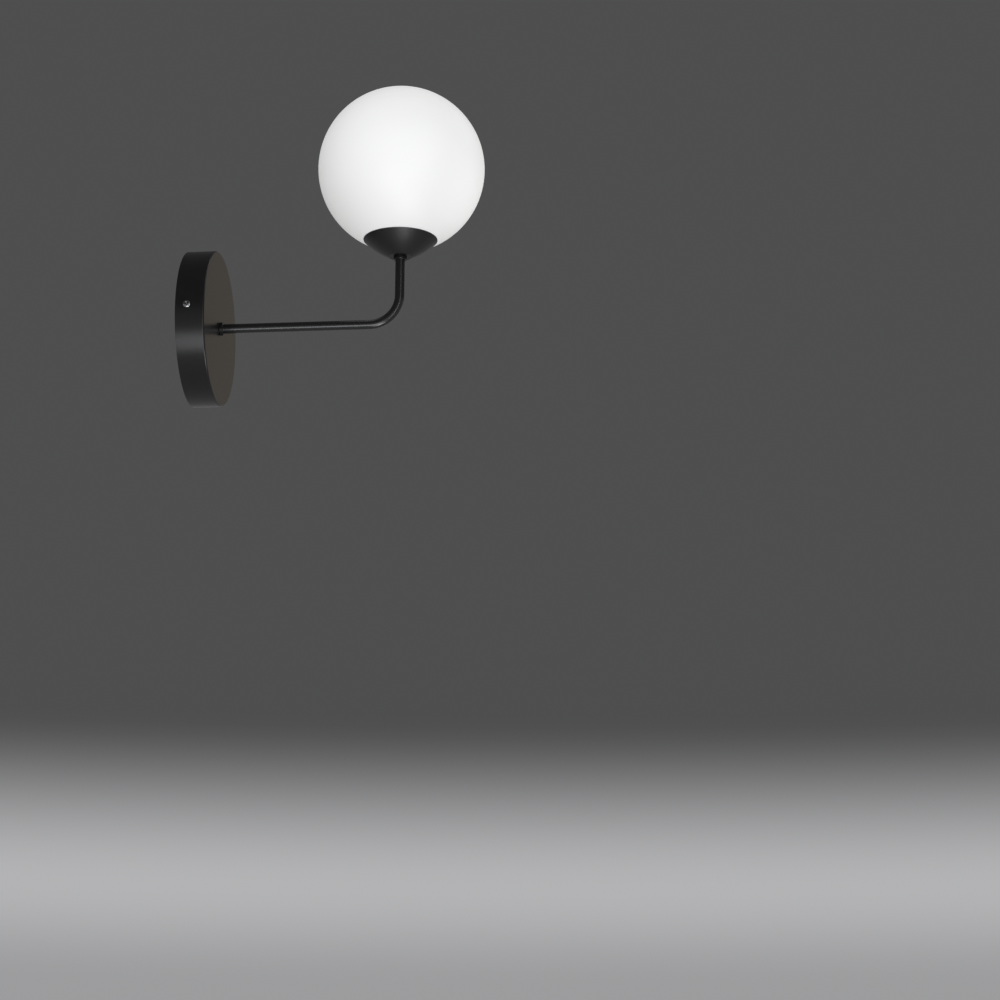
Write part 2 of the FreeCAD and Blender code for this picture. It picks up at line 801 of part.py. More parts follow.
def bent_line(sketch, waypoints, radius):
    """Draw straight runs through waypoints, with a bend of one radius tangent to both runs at each turn."""
    bend = size(radius)
    spots = [Vector(size(x), size(y), 0) for x, y in waypoints]
    runs = []
    start = spots[0]
    for index in range(1, len(spots) - 1):
        before = (spots[index] - spots[index - 1]).normalize()
        after = (spots[index + 1] - spots[index]).normalize()
        cut = bend * math.tan(before.getAngle(after) / 2)
        entry, leave = spots[index] - before * cut, spots[index] + after * cut
        side = 1 if before.cross(after).z > 0 else -1
        runs.append(Part.LineSegment(start, entry))
        runs.append(curve_between(entry, leave, bend * side)[0])
        start = leave
    runs.append(Part.LineSegment(start, spots[-1]))
    for run in runs:
        sketch.addGeometry(run)
    guides = [sketch.addGeometry(Part.LineSegment(a, b), True) for a, b in zip(spots, spots[1:])]
    for number, guide in enumerate(guides):
        pin(sketch, guide, 1, *waypoints[number])
        if number:
            sketch.addConstraint(Sketcher.Constraint("Coincident", guides[number - 1], 2, guide, 1))
    pin(sketch, guides[-1], 2, *waypoints[-1])
    sketch.addConstraint(Sketcher.Constraint("Coincident", 0, 1, guides[0], 1))
    sketch.addConstraint(Sketcher.Constraint("Coincident", len(runs) - 1, 2, guides[-1], 2))
    for number, guide in enumerate(guides):
        line = 2 * number
        if number:
            sketch.addConstraint(Sketcher.Constraint("PointOnObject", line, 1, guide))
        if number < len(guides) - 1:
            sketch.addConstraint(Sketcher.Constraint("PointOnObject", line, 2, guide))
            arc = line + 1
            joint = sketch.Geometry[line].EndPoint
            arc_start = 1 if sketch.Geometry[arc].StartPoint.isEqual(joint, NEAR) else 2
            sketch.addConstraint(Sketcher.Constraint("Tangent", line, 2, arc, arc_start))
            sketch.addConstraint(Sketcher.Constraint("Tangent", arc, 3 - arc_start, line + 2, 1))
            tie(sketch, "Radius", (arc,), radius)


# Lampholder

def make_holder_cap():
    """Mould the lampholder's lower half: a threaded neck, a shoulder and a fluted skirt."""
    body = new_body("lampholder_cap", "arm_reach", "holder_bottom")
    neck = "holder_neck / 2"
    skirt = "holder_diameter / 2"
    shoulder = "holder_neck_height + holder_shoulder"
    revolve(body, "shell", [
        ("thread_radius", "0"),
        (neck, "0"),
        (neck, "holder_neck_height"),
        (skirt, shoulder, "-holder_shoulder_curve"),
        (skirt, "holder_cap_height"),
        ("holder_bore", "holder_cap_height"),
        ("holder_bore", f"{shoulder} + holder_shoulder_inside"),
        ("thread_radius", f"{shoulder} - holder_wall", "holder_shoulder_curve"),
    ])
    sketch = new_sketch(body, "flute", "XY_Plane", shoulder)
    draw_circle(sketch, f"{skirt} + holder_flute_radius - holder_flute_depth", "0", "holder_flute_radius")
    flute = pocket(body, sketch, "holder_cap_height", backwards=True)
    pattern(body, [flute], "holder_flutes")
    sketch = new_sketch(body, "grub_hole", "YZ_Plane")
    draw_circle(sketch, "0", "holder_neck_height / 2", "grub_diameter / 2 + thread_fit")
    pocket(body, sketch, "holder_neck", backwards=True)


def make_holder_body():
    """Mould the lampholder's upper half: a sleeve with a shelf for the contacts and a mouth for the bulb."""
    body = new_body("lampholder_body", "arm_reach", "holder_joint")
    skirt = "holder_diameter / 2"
    revolve(body, "sleeve", [
        ("holder_bore", "0"),
        (skirt, "0"),
        (skirt, "holder_body_height - holder_rim_round"),
        (f"{skirt} - holder_rim_round", "holder_body_height", "holder_rim_round"),
        ("holder_mouth / 2", "holder_body_height"),
        ("holder_mouth / 2", "carrier_height + sheet_fit"),
        ("holder_bore", "carrier_height + sheet_fit"),
    ])


def make_grub_screw():
    """Turn the screw that stops the lampholder on the tube."""
    body = new_body("holder_grub_screw", "arm_reach", "holder_bottom")
    sketch = new_sketch(body, "rod", "YZ_Plane", "thread_radius")
    draw_circle(sketch, "0", "holder_neck_height / 2", "grub_diameter / 2")
    pad(body, sketch, "holder_neck / 2 - thread_radius + grub_proud")
    sketch = new_sketch(body, "slot", "YZ_Plane", "holder_neck / 2 + grub_proud")
    draw_rectangle(sketch, "-grub_slot / 2", "0", "grub_slot / 2", "holder_neck_height")
    pocket(body, sketch, "grub_slot_depth")


def make_carrier():
    """Mould the insulating disc that carries the screw shell, the tongue and the terminals."""
    body = new_body("contact_carrier", "arm_reach", "holder_joint")
    revolve(body, "disc", [
        ("0", "carrier_lift"),
        ("holder_bore - sheet_fit", "carrier_lift"),
        ("holder_bore - sheet_fit", "carrier_height"),
        ("holder_mouth / 2 - sheet_fit", "carrier_height"),
        ("holder_mouth / 2 - sheet_fit", "carrier_height + carrier_ring_height"),
        ("shell_outer + thread_fit", "carrier_height + carrier_ring_height"),
        ("shell_outer + thread_fit", "carrier_height"),
        ("0", "carrier_height"),
    ])


def make_terminals():
    """Cut the two brass terminals that hang under the disc."""
    body = new_body("holder_terminals", "arm_reach", "holder_joint")
    sketch = new_sketch(body, "block", "XY_Plane", "carrier_lift - terminal_height")
    half = "terminal_width / 2"
    draw_rectangle(sketch, f"-{half}", f"terminal_spacing - {half}", half, f"terminal_spacing + {half}")
    block = pad(body, sketch, "terminal_height")
    sketch = new_sketch(body, "bore", "XY_Plane", "carrier_lift - terminal_height")
    draw_circle(sketch, "0", "terminal_spacing", "wire_diameter / 2 + thread_fit")
    bore = pocket(body, sketch, "terminal_height - terminal_roof", backwards=True)
    mirror(body, [block, bore])


def make_terminal_screws():
    """Turn the screws that clamp the wires in the two terminals."""
    body = new_body("holder_terminal_screws", "arm_reach", "holder_joint")
    sketch = new_sketch(body, "rod", "XZ_Plane", "-terminal_spacing - terminal_width / 2")
    draw_circle(sketch, "0", "carrier_lift - terminal_height / 2", "terminal_screw / 2")
    rod = pad(body, sketch, "terminal_screw_length", backwards=True)
    mirror(body, [rod])


def make_shell():
    """Draw the screw shell of the lampholder."""
    body = new_body("lampholder_shell", "arm_reach", "carrier_top")
    bore = "shell_bore / 2"
    revolve(body, "sleeve", [
        (bore, "shell_sheet"),
        (bore, "shell_height"),
        ("shell_outer", "shell_height"),
        ("shell_outer", "0"),
        (f"{bore} - shell_foot", "0"),
        (f"{bore} - shell_foot", "shell_sheet"),
    ])


def make_centre_contact():
    """Bend the sprung tongue that meets the bulb's tip: a foot on the disc, folded back up to a level pad."""
    body = new_body("centre_contact", "arm_reach", "carrier_top + contact_sheet / 2")
    path = new_sketch(body, "path", "XZ_Plane")
    bent_line(path, [
        ("-contact_tail", "0"),
        ("contact_heel", "0"),
        ("contact_pad", "contact_rise - bulb_gap"),
        ("-contact_pad", "contact_rise - bulb_gap"),
    ], "contact_bend")
    strip = new_sketch(body, "strip", "YZ_Plane", "-contact_tail")
    half_wide, half_thick = "contact_width / 2", "contact_sheet / 2"
    draw_rectangle(strip, f"-{half_wide}", f"-{half_thick}", half_wide, half_thick)
    tongue = body.newObject("PartDesign::AdditivePipe", "centre_contact_tongue")
    tongue.Profile = strip
    tongue.Spine = path
    doc.recompute()


# Bulb

def make_bulb():
    """Make the lamp's own bulb: tip, glass ring, screw cap, white housing and frosted candle."""
    cap = "bulb_cap_diameter / 2"
    flare = "bulb_cap_flare / 2"
    tip = "bulb_tip_diameter / 2"
    housing = "bulb_housing_diameter / 2"
    ring_top = "bulb_tip_height + bulb_ring_height"
    revolve(new_body("bulb_tip", "arm_reach", "bulb_bottom"), "button", [
        ("0", "0"),
        ("bulb_tip_face", "0"),
        (tip, "bulb_tip_height - bulb_tip_side", "bulb_tip_round"),
        (tip, "bulb_tip_height"),
        ("0", "bulb_tip_height"),
    ])
    revolve(new_body("bulb_insulator", "arm_reach", "bulb_bottom"), "ring", [
        ("0", "bulb_tip_height"),
        ("bulb_ring_face / 2", "bulb_tip_height"),
        (f"{cap} - bulb_cap_chamfer", ring_top),
        ("0", ring_top),
    ])
    revolve(new_body("bulb_cap", "arm_reach", "bulb_bottom"), "shell", [
        ("0", ring_top),
        (f"{cap} - bulb_cap_chamfer", ring_top),
        (cap, f"{ring_top} + bulb_cap_chamfer"),
        (cap, "bulb_flare_start"),
        (flare, "bulb_flare_start + bulb_flare_rise"),
        (flare, "bulb_cap_length"),
        ("0", "bulb_cap_length"),
    ])
    revolve(new_body("bulb_housing", "arm_reach", "bulb_bottom"), "cone", [
        ("0", "bulb_cap_length"),
        ("bulb_housing_foot / 2", "bulb_cap_length"),
        (housing, "bulb_housing_top", "-bulb_housing_curve"),
        ("0", "bulb_housing_top"),
    ])
    make_envelope()


def make_envelope():
    """Mould the frosted candle: a thin shell that stands on the housing and closes in a small round point."""
    belly = "bulb_diameter / 2"
    foot = "bulb_housing_diameter / 2 - bulb_seam"
    shoulder = "bulb_length - bulb_shoulder_drop"
    point = "(bulb_point ^ 2 + bulb_point_height ^ 2) / 2 / bulb_point_height"
    revolve(new_body("bulb_envelope", "arm_reach", "bulb_bottom"), "candle", [
        (foot, "bulb_housing_top"),
        (belly, "bulb_belly", "bulb_belly_curve"),
        ("bulb_shoulder", shoulder, "bulb_taper_curve"),
        ("bulb_point", "bulb_length - bulb_point_height", "-bulb_neck_curve"),
        ("0", "bulb_length", point),
        ("0", "bulb_length - bulb_point_wall"),
        ("bulb_point - bulb_wall", "bulb_length - bulb_point_wall"),
        ("bulb_shoulder - bulb_wall", f"{shoulder} - bulb_wall", "-bulb_inner_neck_curve"),
        (f"{belly} - bulb_wall", "bulb_belly", "-(bulb_taper_curve - bulb_wall)"),
        (f"{foot} - bulb_wall", "bulb_housing_top", "-(bulb_belly_curve - bulb_wall)"),
    ])


# Terminal block on the bracket's tab

POLES = ("-pole_pitch", "0", "pole_pitch")


def across(pole, shift):
    """Return a place beside a pole's axis."""
    return shift if pole == "0" else f"{pole} + ({shift})"


def make_block():
    """Mould the block: a flat base with one rounded hump for each pole."""
    body = new_body("terminal_block", up="block_bottom")
    sketch = new_sketch(body, "section", "XY_Plane")
    half = "block_hump / 2"
    end = "pole_pitch + block_hump / 2 + block_margin"
    corners = [("bracket_sheet", end), ("bracket_sheet", f"-({end})"), ("block_face", f"-({end})")]
    for pole in POLES:
        corners += [
            ("block_face", across(pole, f"-{half}")),
            (f"block_front - {half}", across(pole, f"-{half}")),
            ("block_front", across(pole, "-block_hump_flat / 2"), half),
            ("block_front", across(pole, "block_hump_flat / 2")),
            (f"block_front - {half}", across(pole, half), half),
            ("block_face", across(pole, half)),
        ]
    corners.append(("block_face", end))
    draw_outline(sketch, corners)
    pad(body, sketch, "block_height")
    sketch = new_sketch(body, "bores", "XY_Plane")
    for pole in POLES:
        draw_circle(sketch, "pole_axis", pole, "insert_diameter / 2 + insert_fit")
    pocket(body, sketch, "block_height", backwards=True)
    sketch = new_sketch(body, "screw_holes", "YZ_Plane", "pole_axis")
    for pole in POLES:
        for side in ("+", "-"):
            height = f"block_height / 2 {side} clamp_spacing / 2"
            draw_circle(sketch, pole, height, "clamp_screw / 2 + insert_fit")
    pocket(body, sketch, "block_front", backwards=True)
    sketch = new_sketch(body, "fixing_holes", "YZ_Plane")
    for side in ("", "-"):
        draw_circle(sketch, f"{side}pole_pitch / 2", "block_height / 2", "block_screw / 2 + insert_fit")
    pocket(body, sketch, "block_front", backwards=True)


def make_inserts():
    """Cut the brass tubes that join the wires."""
    body = new_body("terminal_inserts", up="block_bottom")
    sketch = new_sketch(body, "tubes", "XY_Plane", "insert_inset")
    for pole in POLES:
        draw_circle(sketch, "pole_axis", pole, "insert_diameter / 2")
    for pole in POLES:
        draw_circle(sketch, "pole_axis", pole, "insert_bore / 2")
    pad(body, sketch, "block_height - insert_inset * 2")


def make_clamp_screws():
    """Turn the six clamping screws, sunk in the humps."""
    body = new_body("terminal_screws", up="block_bottom")
    seat = "pole_axis + insert_diameter / 2 + insert_fit"
    sketch = new_sketch(body, "rods", "YZ_Plane", seat)
    for pole in POLES:
        for side in ("+", "-"):
            draw_circle(sketch, pole, f"block_height / 2 {side} clamp_spacing / 2", "clamp_screw / 2")
    pad(body, sketch, f"block_front - clamp_sink - ({seat})")


def make_block_screws():
    """Turn the two screws that hold the block to the tab."""
    body = new_body("block_screws", up="tab_middle")
    for name, side in (("left", "-"), ("right", "")):
        shank = new_sketch(body, f"{name}_shank", "YZ_Plane", "screw_tip_gap")
        draw_circle(shank, f"{side}pole_pitch / 2", "0", "block_screw / 2")
        pad(body, shank, "block_face - screw_tip_gap")
        head = new_sketch(body, f"{name}_head", "YZ_Plane", "block_face")
        draw_circle(head, f"{side}pole_pitch / 2", "0", "block_screw_head / 2")
        pad(body, head, "block_screw_head_height")


# Earth connection

def make_earth_screw():
    """Turn the earth screw with its washer and ring terminal beneath the head."""
    body = new_body("earth_screw", "bracket_sheet + ring_sheet + washer_sheet")
    body.setExpression("Placement.Base.y", bound("earth_offset"))
    lay_along_x(body)
    tip = "screw_tip_gap - bracket_sheet - ring_sheet - washer_sheet"
    revolve(body, "profile", pan_outline("earth_screw / 2", "earth_head / 2", "earth_head_height", "0", tip))

    body = new_body("earth_washer", "bracket_sheet + ring_sheet")
    body.setExpression("Placement.Base.y", bound("earth_offset"))
    sketch = new_sketch(body, "ring", "YZ_Plane")
    draw_circle(sketch, "0", "0", "earth_washer / 2")
    draw_circle(sketch, "0", "0", "earth_screw / 2 + hole_fit")
    pad(body, sketch, "washer_sheet")

    body = new_body("earth_ring", "bracket_sheet")
    body.setExpression("Placement.Base.y", bound("earth_offset"))
    sketch = new_sketch(body, "ring", "YZ_Plane")
    draw_circle(sketch, "0", "0", "ring_diameter / 2")
    draw_circle(sketch, "0", "0", "earth_screw / 2 + hole_fit")
    pad(body, sketch, "ring_sheet")
    sketch = new_sketch(body, "neck", "YZ_Plane")
    half = "barrel_diameter / 2 - barrel_seat"
    neck_top = "barrel_bottom + barrel_overlap"
    draw_rectangle(sketch, f"-({half})", "ring_diameter / 2 - ring_sheet", half, neck_top)
    pad(body, sketch, "ring_sheet")
    sketch = new_sketch(body, "barrel", "XY_Plane", "barrel_bottom")
    draw_circle(sketch, "barrel_rise", "0", "barrel_diameter / 2")
    draw_circle(sketch, "barrel_rise", "0", "wire_diameter / 2 + thread_fit")
    pad(body, sketch, "barrel_length")


# Wires, each on one line of straight runs and tangent arcs

def bent_wire(label, points, radii):
    """Sweep one wire along its route and check its volume against its length."""
    spots = [Vector(*point) for point in points]
    runs = []
    start = spots[0]
    for index, radius in enumerate(radii, start=1):
        before = (spots[index] - spots[index - 1]).normalize()
        after = (spots[index + 1] - spots[index]).normalize()
        cut = radius * math.tan(before.getAngle(after) / 2)
        entry, leave = spots[index] - before * cut, spots[index] + after * cut
        inward = (after - before).normalize()
        centre = spots[index] + inward * math.hypot(radius, cut)
        middle = centre - inward * radius
        runs.append(Part.LineSegment(start, entry).toShape())
        runs.append(Part.Arc(entry, middle, leave).toShape())
        start = leave
    runs.append(Part.LineSegment(start, spots[-1]).toShape())
    route = Part.Wire(runs)
    radius = size("wire_diameter / 2")
    section = Part.Wire(Part.makeCircle(radius, spots[0], spots[1] - spots[0]))
    solid = route.makePipeShell([section], True, False)
    expected = math.pi * radius ** 2 * route.Length
    if abs(solid.Volume / expected - 1) > SWEPT_SHARE:
        raise ValueError(f"{label} is not a whole tube")
    piece = doc.addObject("Part::Feature", label)
    piece.Shape = solid
    piece.Placement = Placement()
    print(f"{label}: {route.Length:.0f} mm long, bends {', '.join(f'{bend:.1f}' for bend in radii)} mm")
    return keep(label, piece)


def make_wires():
    """Lay the two lamp wires through the tube and the earth wire to its ring terminal."""
    axis, pitch, bottom = size("pole_axis"), size("pole_pitch"), size("block_bottom")
    reach, elbow = size("arm_reach"), size("bend_radius")
    bend, joggle = size("wire_bend"), size("wire_joggle")
    offset, spread = size("wire_spacing"), size("terminal_spacing")
    inside, below = size("block_bottom + wire_entry"), size("block_bottom - wire_drop")
    leave = size("tube_top + wire_joggle_start")
    enter = size("holder_joint + carrier_lift - terminal_height - wire_joggle_end")
    grip = size("holder_joint + carrier_lift - terminal_height + wire_grip")
    turn_in = size("tube_start - pole_axis - screw_tip_gap")
    for label, side, pole in (("live_wire", -1, -pitch), ("neutral_wire", 1, 0.0)):
        bent_wire(label, [
            (axis, pole, inside),
            (axis, pole, below),
            (axis, side * offset, 0),
            (reach, side * offset, 0),
            (reach, side * offset, leave),
            (reach, side * spread, enter),
            (reach, side * spread, grip),
        ], [bend, turn_in, elbow, joggle, joggle])
    earth, barrel = size("earth_offset"), size("barrel_axis")
    bent_wire("earth_wire", [
        (axis, pitch, inside),
        (axis, pitch, bottom - size("earth_drop")),
        (barrel, earth, size("barrel_bottom + barrel_length + earth_lead")),
        (barrel, earth, size("barrel_bottom + earth_grip")),
    ], [bend, bend])


def make_all():
    """Build every sub-part."""
    make_globe()
    make_grommet()
    make_canopy()
    make_bracket()
    make_canopy_screws()
    make_tube()
    make_collar("arm_collar", "canopy_depth", "0", True)
    make_washer("arm_washer", "canopy_floor - washer_sheet", "0", True)
    make_nut("arm_nut", "canopy_floor - washer_sheet - nut_height", "0", True)
    make_bushes()
    make_collar("dish_collar", "arm_reach", "dish_bottom - collar_length", False)
    make_dish()
    make_springs()
    make_washer("dish_washer", "arm_reach", "dish_floor + spring_sheet", False)
    make_nut("dish_nut", "arm_reach", "nut_seat", False)
    make_holder_cap()
    make_holder_body()
    make_grub_screw()
    make_carrier()
    make_terminals()
    make_terminal_screws()
    make_shell()
    make_centre_contact()
    make_bulb()
    make_block()
    make_inserts()
    make_clamp_screws()
    make_block_screws()
    make_earth_screw()
    make_wires()


def check_all():
    """Stop if any object of the document failed or any sub-part has no valid shape."""
    doc.recompute()
    for item in doc.Objects:
        if "Invalid" in item.State or "Error" in item.State:
            raise ValueError(f"{item.Name} failed: {item.State}")
    for label, piece in subparts.items():
        if piece.Shape.isNull() or not piece.Shape.isValid():
            raise ValueError(f"{label} has no valid shape")


def write_all():
    """Write each sub-part to a file of its name."""
    os.makedirs("parts", exist_ok=True)
    for label, piece in subparts.items():
        piece.Shape.exportStep(f"parts/{label}.step")
        solids = len(piece.Shape.Solids)
        print(f"{label}: {solids} solid{'s' if solids > 1 else ''}, {piece.Shape.Volume:.0f} mm3")


make_all()
check_all()
write_all()
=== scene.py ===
"""A globe wall sconce: finishes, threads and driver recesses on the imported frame, and the studio round it.

Lengths are in metres. X runs out from the wall and Z up, and the origin is on the wall, on the tube's level
axis. Colours are linear.
"""

import json
import logging
import math
from collections.abc import Callable, Iterable
from dataclasses import dataclass
from enum import Enum
from functools import partial
from typing import Any

import bpy
from mathutils import Matrix, Vector


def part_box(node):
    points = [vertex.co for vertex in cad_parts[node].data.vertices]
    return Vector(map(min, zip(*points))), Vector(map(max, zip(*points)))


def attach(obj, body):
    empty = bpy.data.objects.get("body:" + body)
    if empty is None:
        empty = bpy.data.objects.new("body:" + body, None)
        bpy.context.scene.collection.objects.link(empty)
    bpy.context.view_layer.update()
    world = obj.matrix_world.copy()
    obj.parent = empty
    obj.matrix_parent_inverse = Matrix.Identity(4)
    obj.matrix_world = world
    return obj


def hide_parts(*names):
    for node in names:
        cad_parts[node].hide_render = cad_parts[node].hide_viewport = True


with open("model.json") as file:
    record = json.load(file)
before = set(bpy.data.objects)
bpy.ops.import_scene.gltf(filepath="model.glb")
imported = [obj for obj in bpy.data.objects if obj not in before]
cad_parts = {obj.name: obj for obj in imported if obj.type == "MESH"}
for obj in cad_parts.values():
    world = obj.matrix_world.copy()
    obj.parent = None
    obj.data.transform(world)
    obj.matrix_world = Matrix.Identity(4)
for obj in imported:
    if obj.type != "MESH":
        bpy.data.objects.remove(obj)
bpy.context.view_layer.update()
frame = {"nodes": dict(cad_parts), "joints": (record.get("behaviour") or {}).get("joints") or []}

MM = 0.001
ARM_REACH = next(joint["pos_m"][0] for joint in frame["joints"] if joint["name"] == "bulb_turn")
BULB_FRAME = Matrix.Translation(Vector((ARM_REACH, 0, 0)))
OUTWARD = Vector((1, 0, 0))

log = logging.getLogger("sconce")

Colour = tuple[float, float, float]
Direction = tuple[float, float, float]
Faces = list[tuple[int, ...]]
Numbers = tuple[float, ...]
Pair = tuple[float, float]
Piece = bpy.types.Object
Profile = list[Pair]
Row = Callable[[float], Pair]


# Shader writing


class Sock:
    """A shader value. Arithmetic on it adds Math nodes to its book."""

    def __init__(self, book: "NodeBook", socket: bpy.types.NodeSocket) -> None:
        """Keep the socket and the book that its nodes go into."""
        self.book = book
        self.socket = socket

    def _math(self, operation: str, *terms: "Term") -> "Sock":
        """Return what a Math node makes of some values or links."""
        made = self.book.node("ShaderNodeMath", {"operation": operation}, dict(enumerate(terms)))
        return Sock(self.book, made.outputs[0])

    def __add__(self, other: "Term") -> "Sock":
        """Return self + other."""
        return self._math("ADD", self, other)

    def __radd__(self, other: "Term") -> "Sock":
        """Return other + self."""
        return self._math("ADD", other, self)

    def __sub__(self, other: "Term") -> "Sock":
        """Return self - other."""
        return self._math("SUBTRACT", self, other)

    def __rsub__(self, other: "Term") -> "Sock":
        """Return other - self."""
        return self._math("SUBTRACT", other, self)

    def __mul__(self, other: "Term") -> "Sock":
        """Return self * other."""
        return self._math("MULTIPLY", self, other)

    def __rmul__(self, other: "Term") -> "Sock":
        """Return other * self."""
        return self._math("MULTIPLY", other, self)

    def __gt__(self, other: "Term") -> "Sock":
        """Return 1 where self is above other."""
        return self._math("GREATER_THAN", self, other)

    def __lt__(self, other: "Term") -> "Sock":
        """Return 1 where self is below other."""
        return self._math("LESS_THAN", self, other)

    def wave(self) -> "Sock":
        """Return the sine of self."""
        return self._math("SINE", self)

    def angle_to(self, other: "Term") -> "Sock":
        """Return the angle whose tangent is self over other."""
        return self._math("ARCTAN2", self, other)

    def eased(self, low: float, high: float) -> "Sock":
        """Return a smooth step, 0 where self is low and 1 where it is high."""
        made = self.book.node("ShaderNodeMapRange", {"interpolation_type": "SMOOTHSTEP"},
                              {"Value": self, "From Min": low, "From Max": high})
        return Sock(self.book, made.outputs[0])


Term = Sock | float


class NodeBook:
    """The node tree of one material or of the world, written node by node."""

    def __init__(self, tree: bpy.types.NodeTree) -> None:
        """Clear the tree and keep it."""
        self.tree = tree
        tree.nodes.clear()

    def node(self, kind: str, settings: dict[str, Any] | None = None,
             sockets: dict[str | int, Any] | None = None) -> bpy.types.Node:
        """Add one node.

        Args:
            kind: The node's type.
            settings: Its properties, which are set first. "stops" is a ramp's list of (place, colour).
            sockets: The values or links of its sockets.

        Returns:
            The node.
        """
        made = self.tree.nodes.new(kind)
        for name, value in (settings or {}).items():
            if name == "stops":
                elements = made.color_ramp.elements
                while len(elements) < len(value):
                    elements.new(1.0)
                for element, (place, colour) in zip(elements, value):
                    element.position, element.color = place, (*colour, 1.0)
            else:
                setattr(made, name, value)
        for name, value in (sockets or {}).items():
            if isinstance(value, Sock):
                self.tree.links.new(value.socket, made.inputs[name])
            elif isinstance(value, tuple) and made.inputs[name].type == "RGBA":
                made.inputs[name].default_value = (*value, 1.0)
            else:
                made.inputs[name].default_value = value
        return made

    def out(self, made: bpy.types.Node, name: str | int = 0) -> Sock:
        """Return one output of a node."""
        return Sock(self, made.outputs[name])

    def place(self) -> Sock:
        """Return the point on the piece, in the frame's metres."""
        return self.out(self.node("ShaderNodeTexCoord"), "Object")

    def facing(self) -> Sock:
        """Return the direction that the surface faces, which stays with the piece."""
        return self.out(self.node("ShaderNodeTexCoord"), "Normal")

    def split(self, vector: Sock) -> tuple[Sock, Sock, Sock]:
        """Return the x, y and z of a vector."""
        made = self.node("ShaderNodeSeparateXYZ", None, {0: vector})
        return self.out(made, 0), self.out(made, 1), self.out(made, 2)

    def toward(self, vector: Sock, direction: Direction) -> Sock:
        """Return how far a vector points along a direction."""
        made = self.node("ShaderNodeVectorMath", {"operation": "DOT_PRODUCT"}, {0: vector, 1: direction})
        return self.out(made, 1)

    def stretched(self, vector: Sock, scale: Direction) -> Sock:
        """Return a vector scaled along each axis."""
        made = self.node("ShaderNodeVectorMath", {"operation": "MULTIPLY"}, {0: vector, 1: scale})
        return self.out(made)

    def noise(self, grain: float, detail: float, vector: Sock | None = None, warp: float = 0.0) -> Sock:
        """Return soft random values, 0 to 1, in blotches of a grain in metres with finer layers on them."""
        made = self.node("ShaderNodeTexNoise", None, {
            "Vector": vector or self.place(), "Scale": 1.0 / grain, "Detail": detail,
            "Roughness": 0.55, "Distortion": warp})
        return self.out(made)

    def cells(self, grain: float) -> Sock:
        """Return the distance to random points that are about a grain apart."""
        made = self.node("ShaderNodeTexVoronoi", None, {"Vector": self.place(), "Scale": 1.0 / grain})
        return self.out(made)

    def mixed(self, mask: Term, first: Any, second: Any) -> Sock:
        """Return a colour between first, where the mask is 0, and second, where it is 1."""
        made = self.node("ShaderNodeMix", {"data_type": "RGBA"}, {0: mask, 6: first, 7: second})
        return self.out(made, 2)

    def bump(self, height: Sock, deep: float, strength: float = 1.0, under: Sock | None = None) -> Sock:
        """Return the surface's direction over a height, of which 1 is so deep in metres, on one under it."""
        relief = {"Height": height, "Distance": deep, "Strength": strength}
        return self.out(self.node("ShaderNodeBump", None, relief | ({"Normal": under} if under else {})))

    def surface(self, **sockets: Any) -> None:
        """Add the surface shader and the output.

        Args:
            sockets: The shader's sockets, whose names have _ for a space.
        """
        named = {name.replace("_", " "): value for name, value in sockets.items()}
        shader = self.node("ShaderNodeBsdfPrincipled", None, named)
        self.node("ShaderNodeOutputMaterial", None, {"Surface": self.out(shader)})


# Finishes


def scaled(tone: Colour, factor: float) -> Colour:
    """Return a tone made darker or lighter by a factor."""
    return tuple(factor * channel for channel in tone)


@dataclass(frozen=True)
class Finish:
    """A finish: its name and the record's slot that it stands for."""

    name: str
    slot: str

    def write(self, book: NodeBook) -> None:
        """Write the finish's nodes."""
        raise NotImplementedError

    def material(self) -> bpy.types.Material:
        """Return the finish's material.

        Returns:
            The material, made when it is first asked for.
        """
        if self.name not in bpy.data.materials:
            made = bpy.data.materials.new(self.name)
            made.use_nodes = True
            self.write(NodeBook(made.node_tree))
        return bpy.data.materials[self.name]


@dataclass(frozen=True)
class PowderCoat(Finish):
    """Black powder coat: a fine cured grain over a slow orange peel, satin, with the odd paler fleck."""

    tone: Colour = (0.0053, 0.0051, 0.0051)
    rough: float = 0.29
    blotch: float = 0.06
    shine: float = 0.41
    grain: float = 0.40 * MM
    grain_deep: float = 0.0025 * MM
    peel: float = 2.4 * MM
    peel_deep: float = 0.008 * MM
    fleck: float = 0.9 * MM
    fleck_share: float = 0.35
    cloud: float = 14 * MM
    patch: float = 3 * MM

    def relief(self, book: NodeBook) -> Sock:
        """Return the surface's direction over the peel and the grain."""
        peel = book.bump(book.noise(self.peel, 1.0), self.peel_deep)
        return book.bump(book.noise(self.grain, 3.0), self.grain_deep, 1.0, peel)

    def write(self, book: NodeBook) -> None:
        """Write the coat's nodes.

        Args:
            book: The material's nodes.
        """
        fleck = book.noise(self.fleck, 4.0).eased(0.60, 0.78)
        cloud = book.noise(self.cloud, 2.0)
        tone = book.mixed(cloud, scaled(self.tone, 0.8), scaled(self.tone, 1.2))
        tone = book.mixed(fleck * self.fleck_share, tone, scaled(self.tone, 2.2))
        rough = book.noise(self.patch, 3.0) * self.blotch + (self.rough - self.blotch / 2)
        book.surface(Base_Color=tone, Roughness=rough, Normal=self.relief(book),
                     Specular_IOR_Level=self.shine)


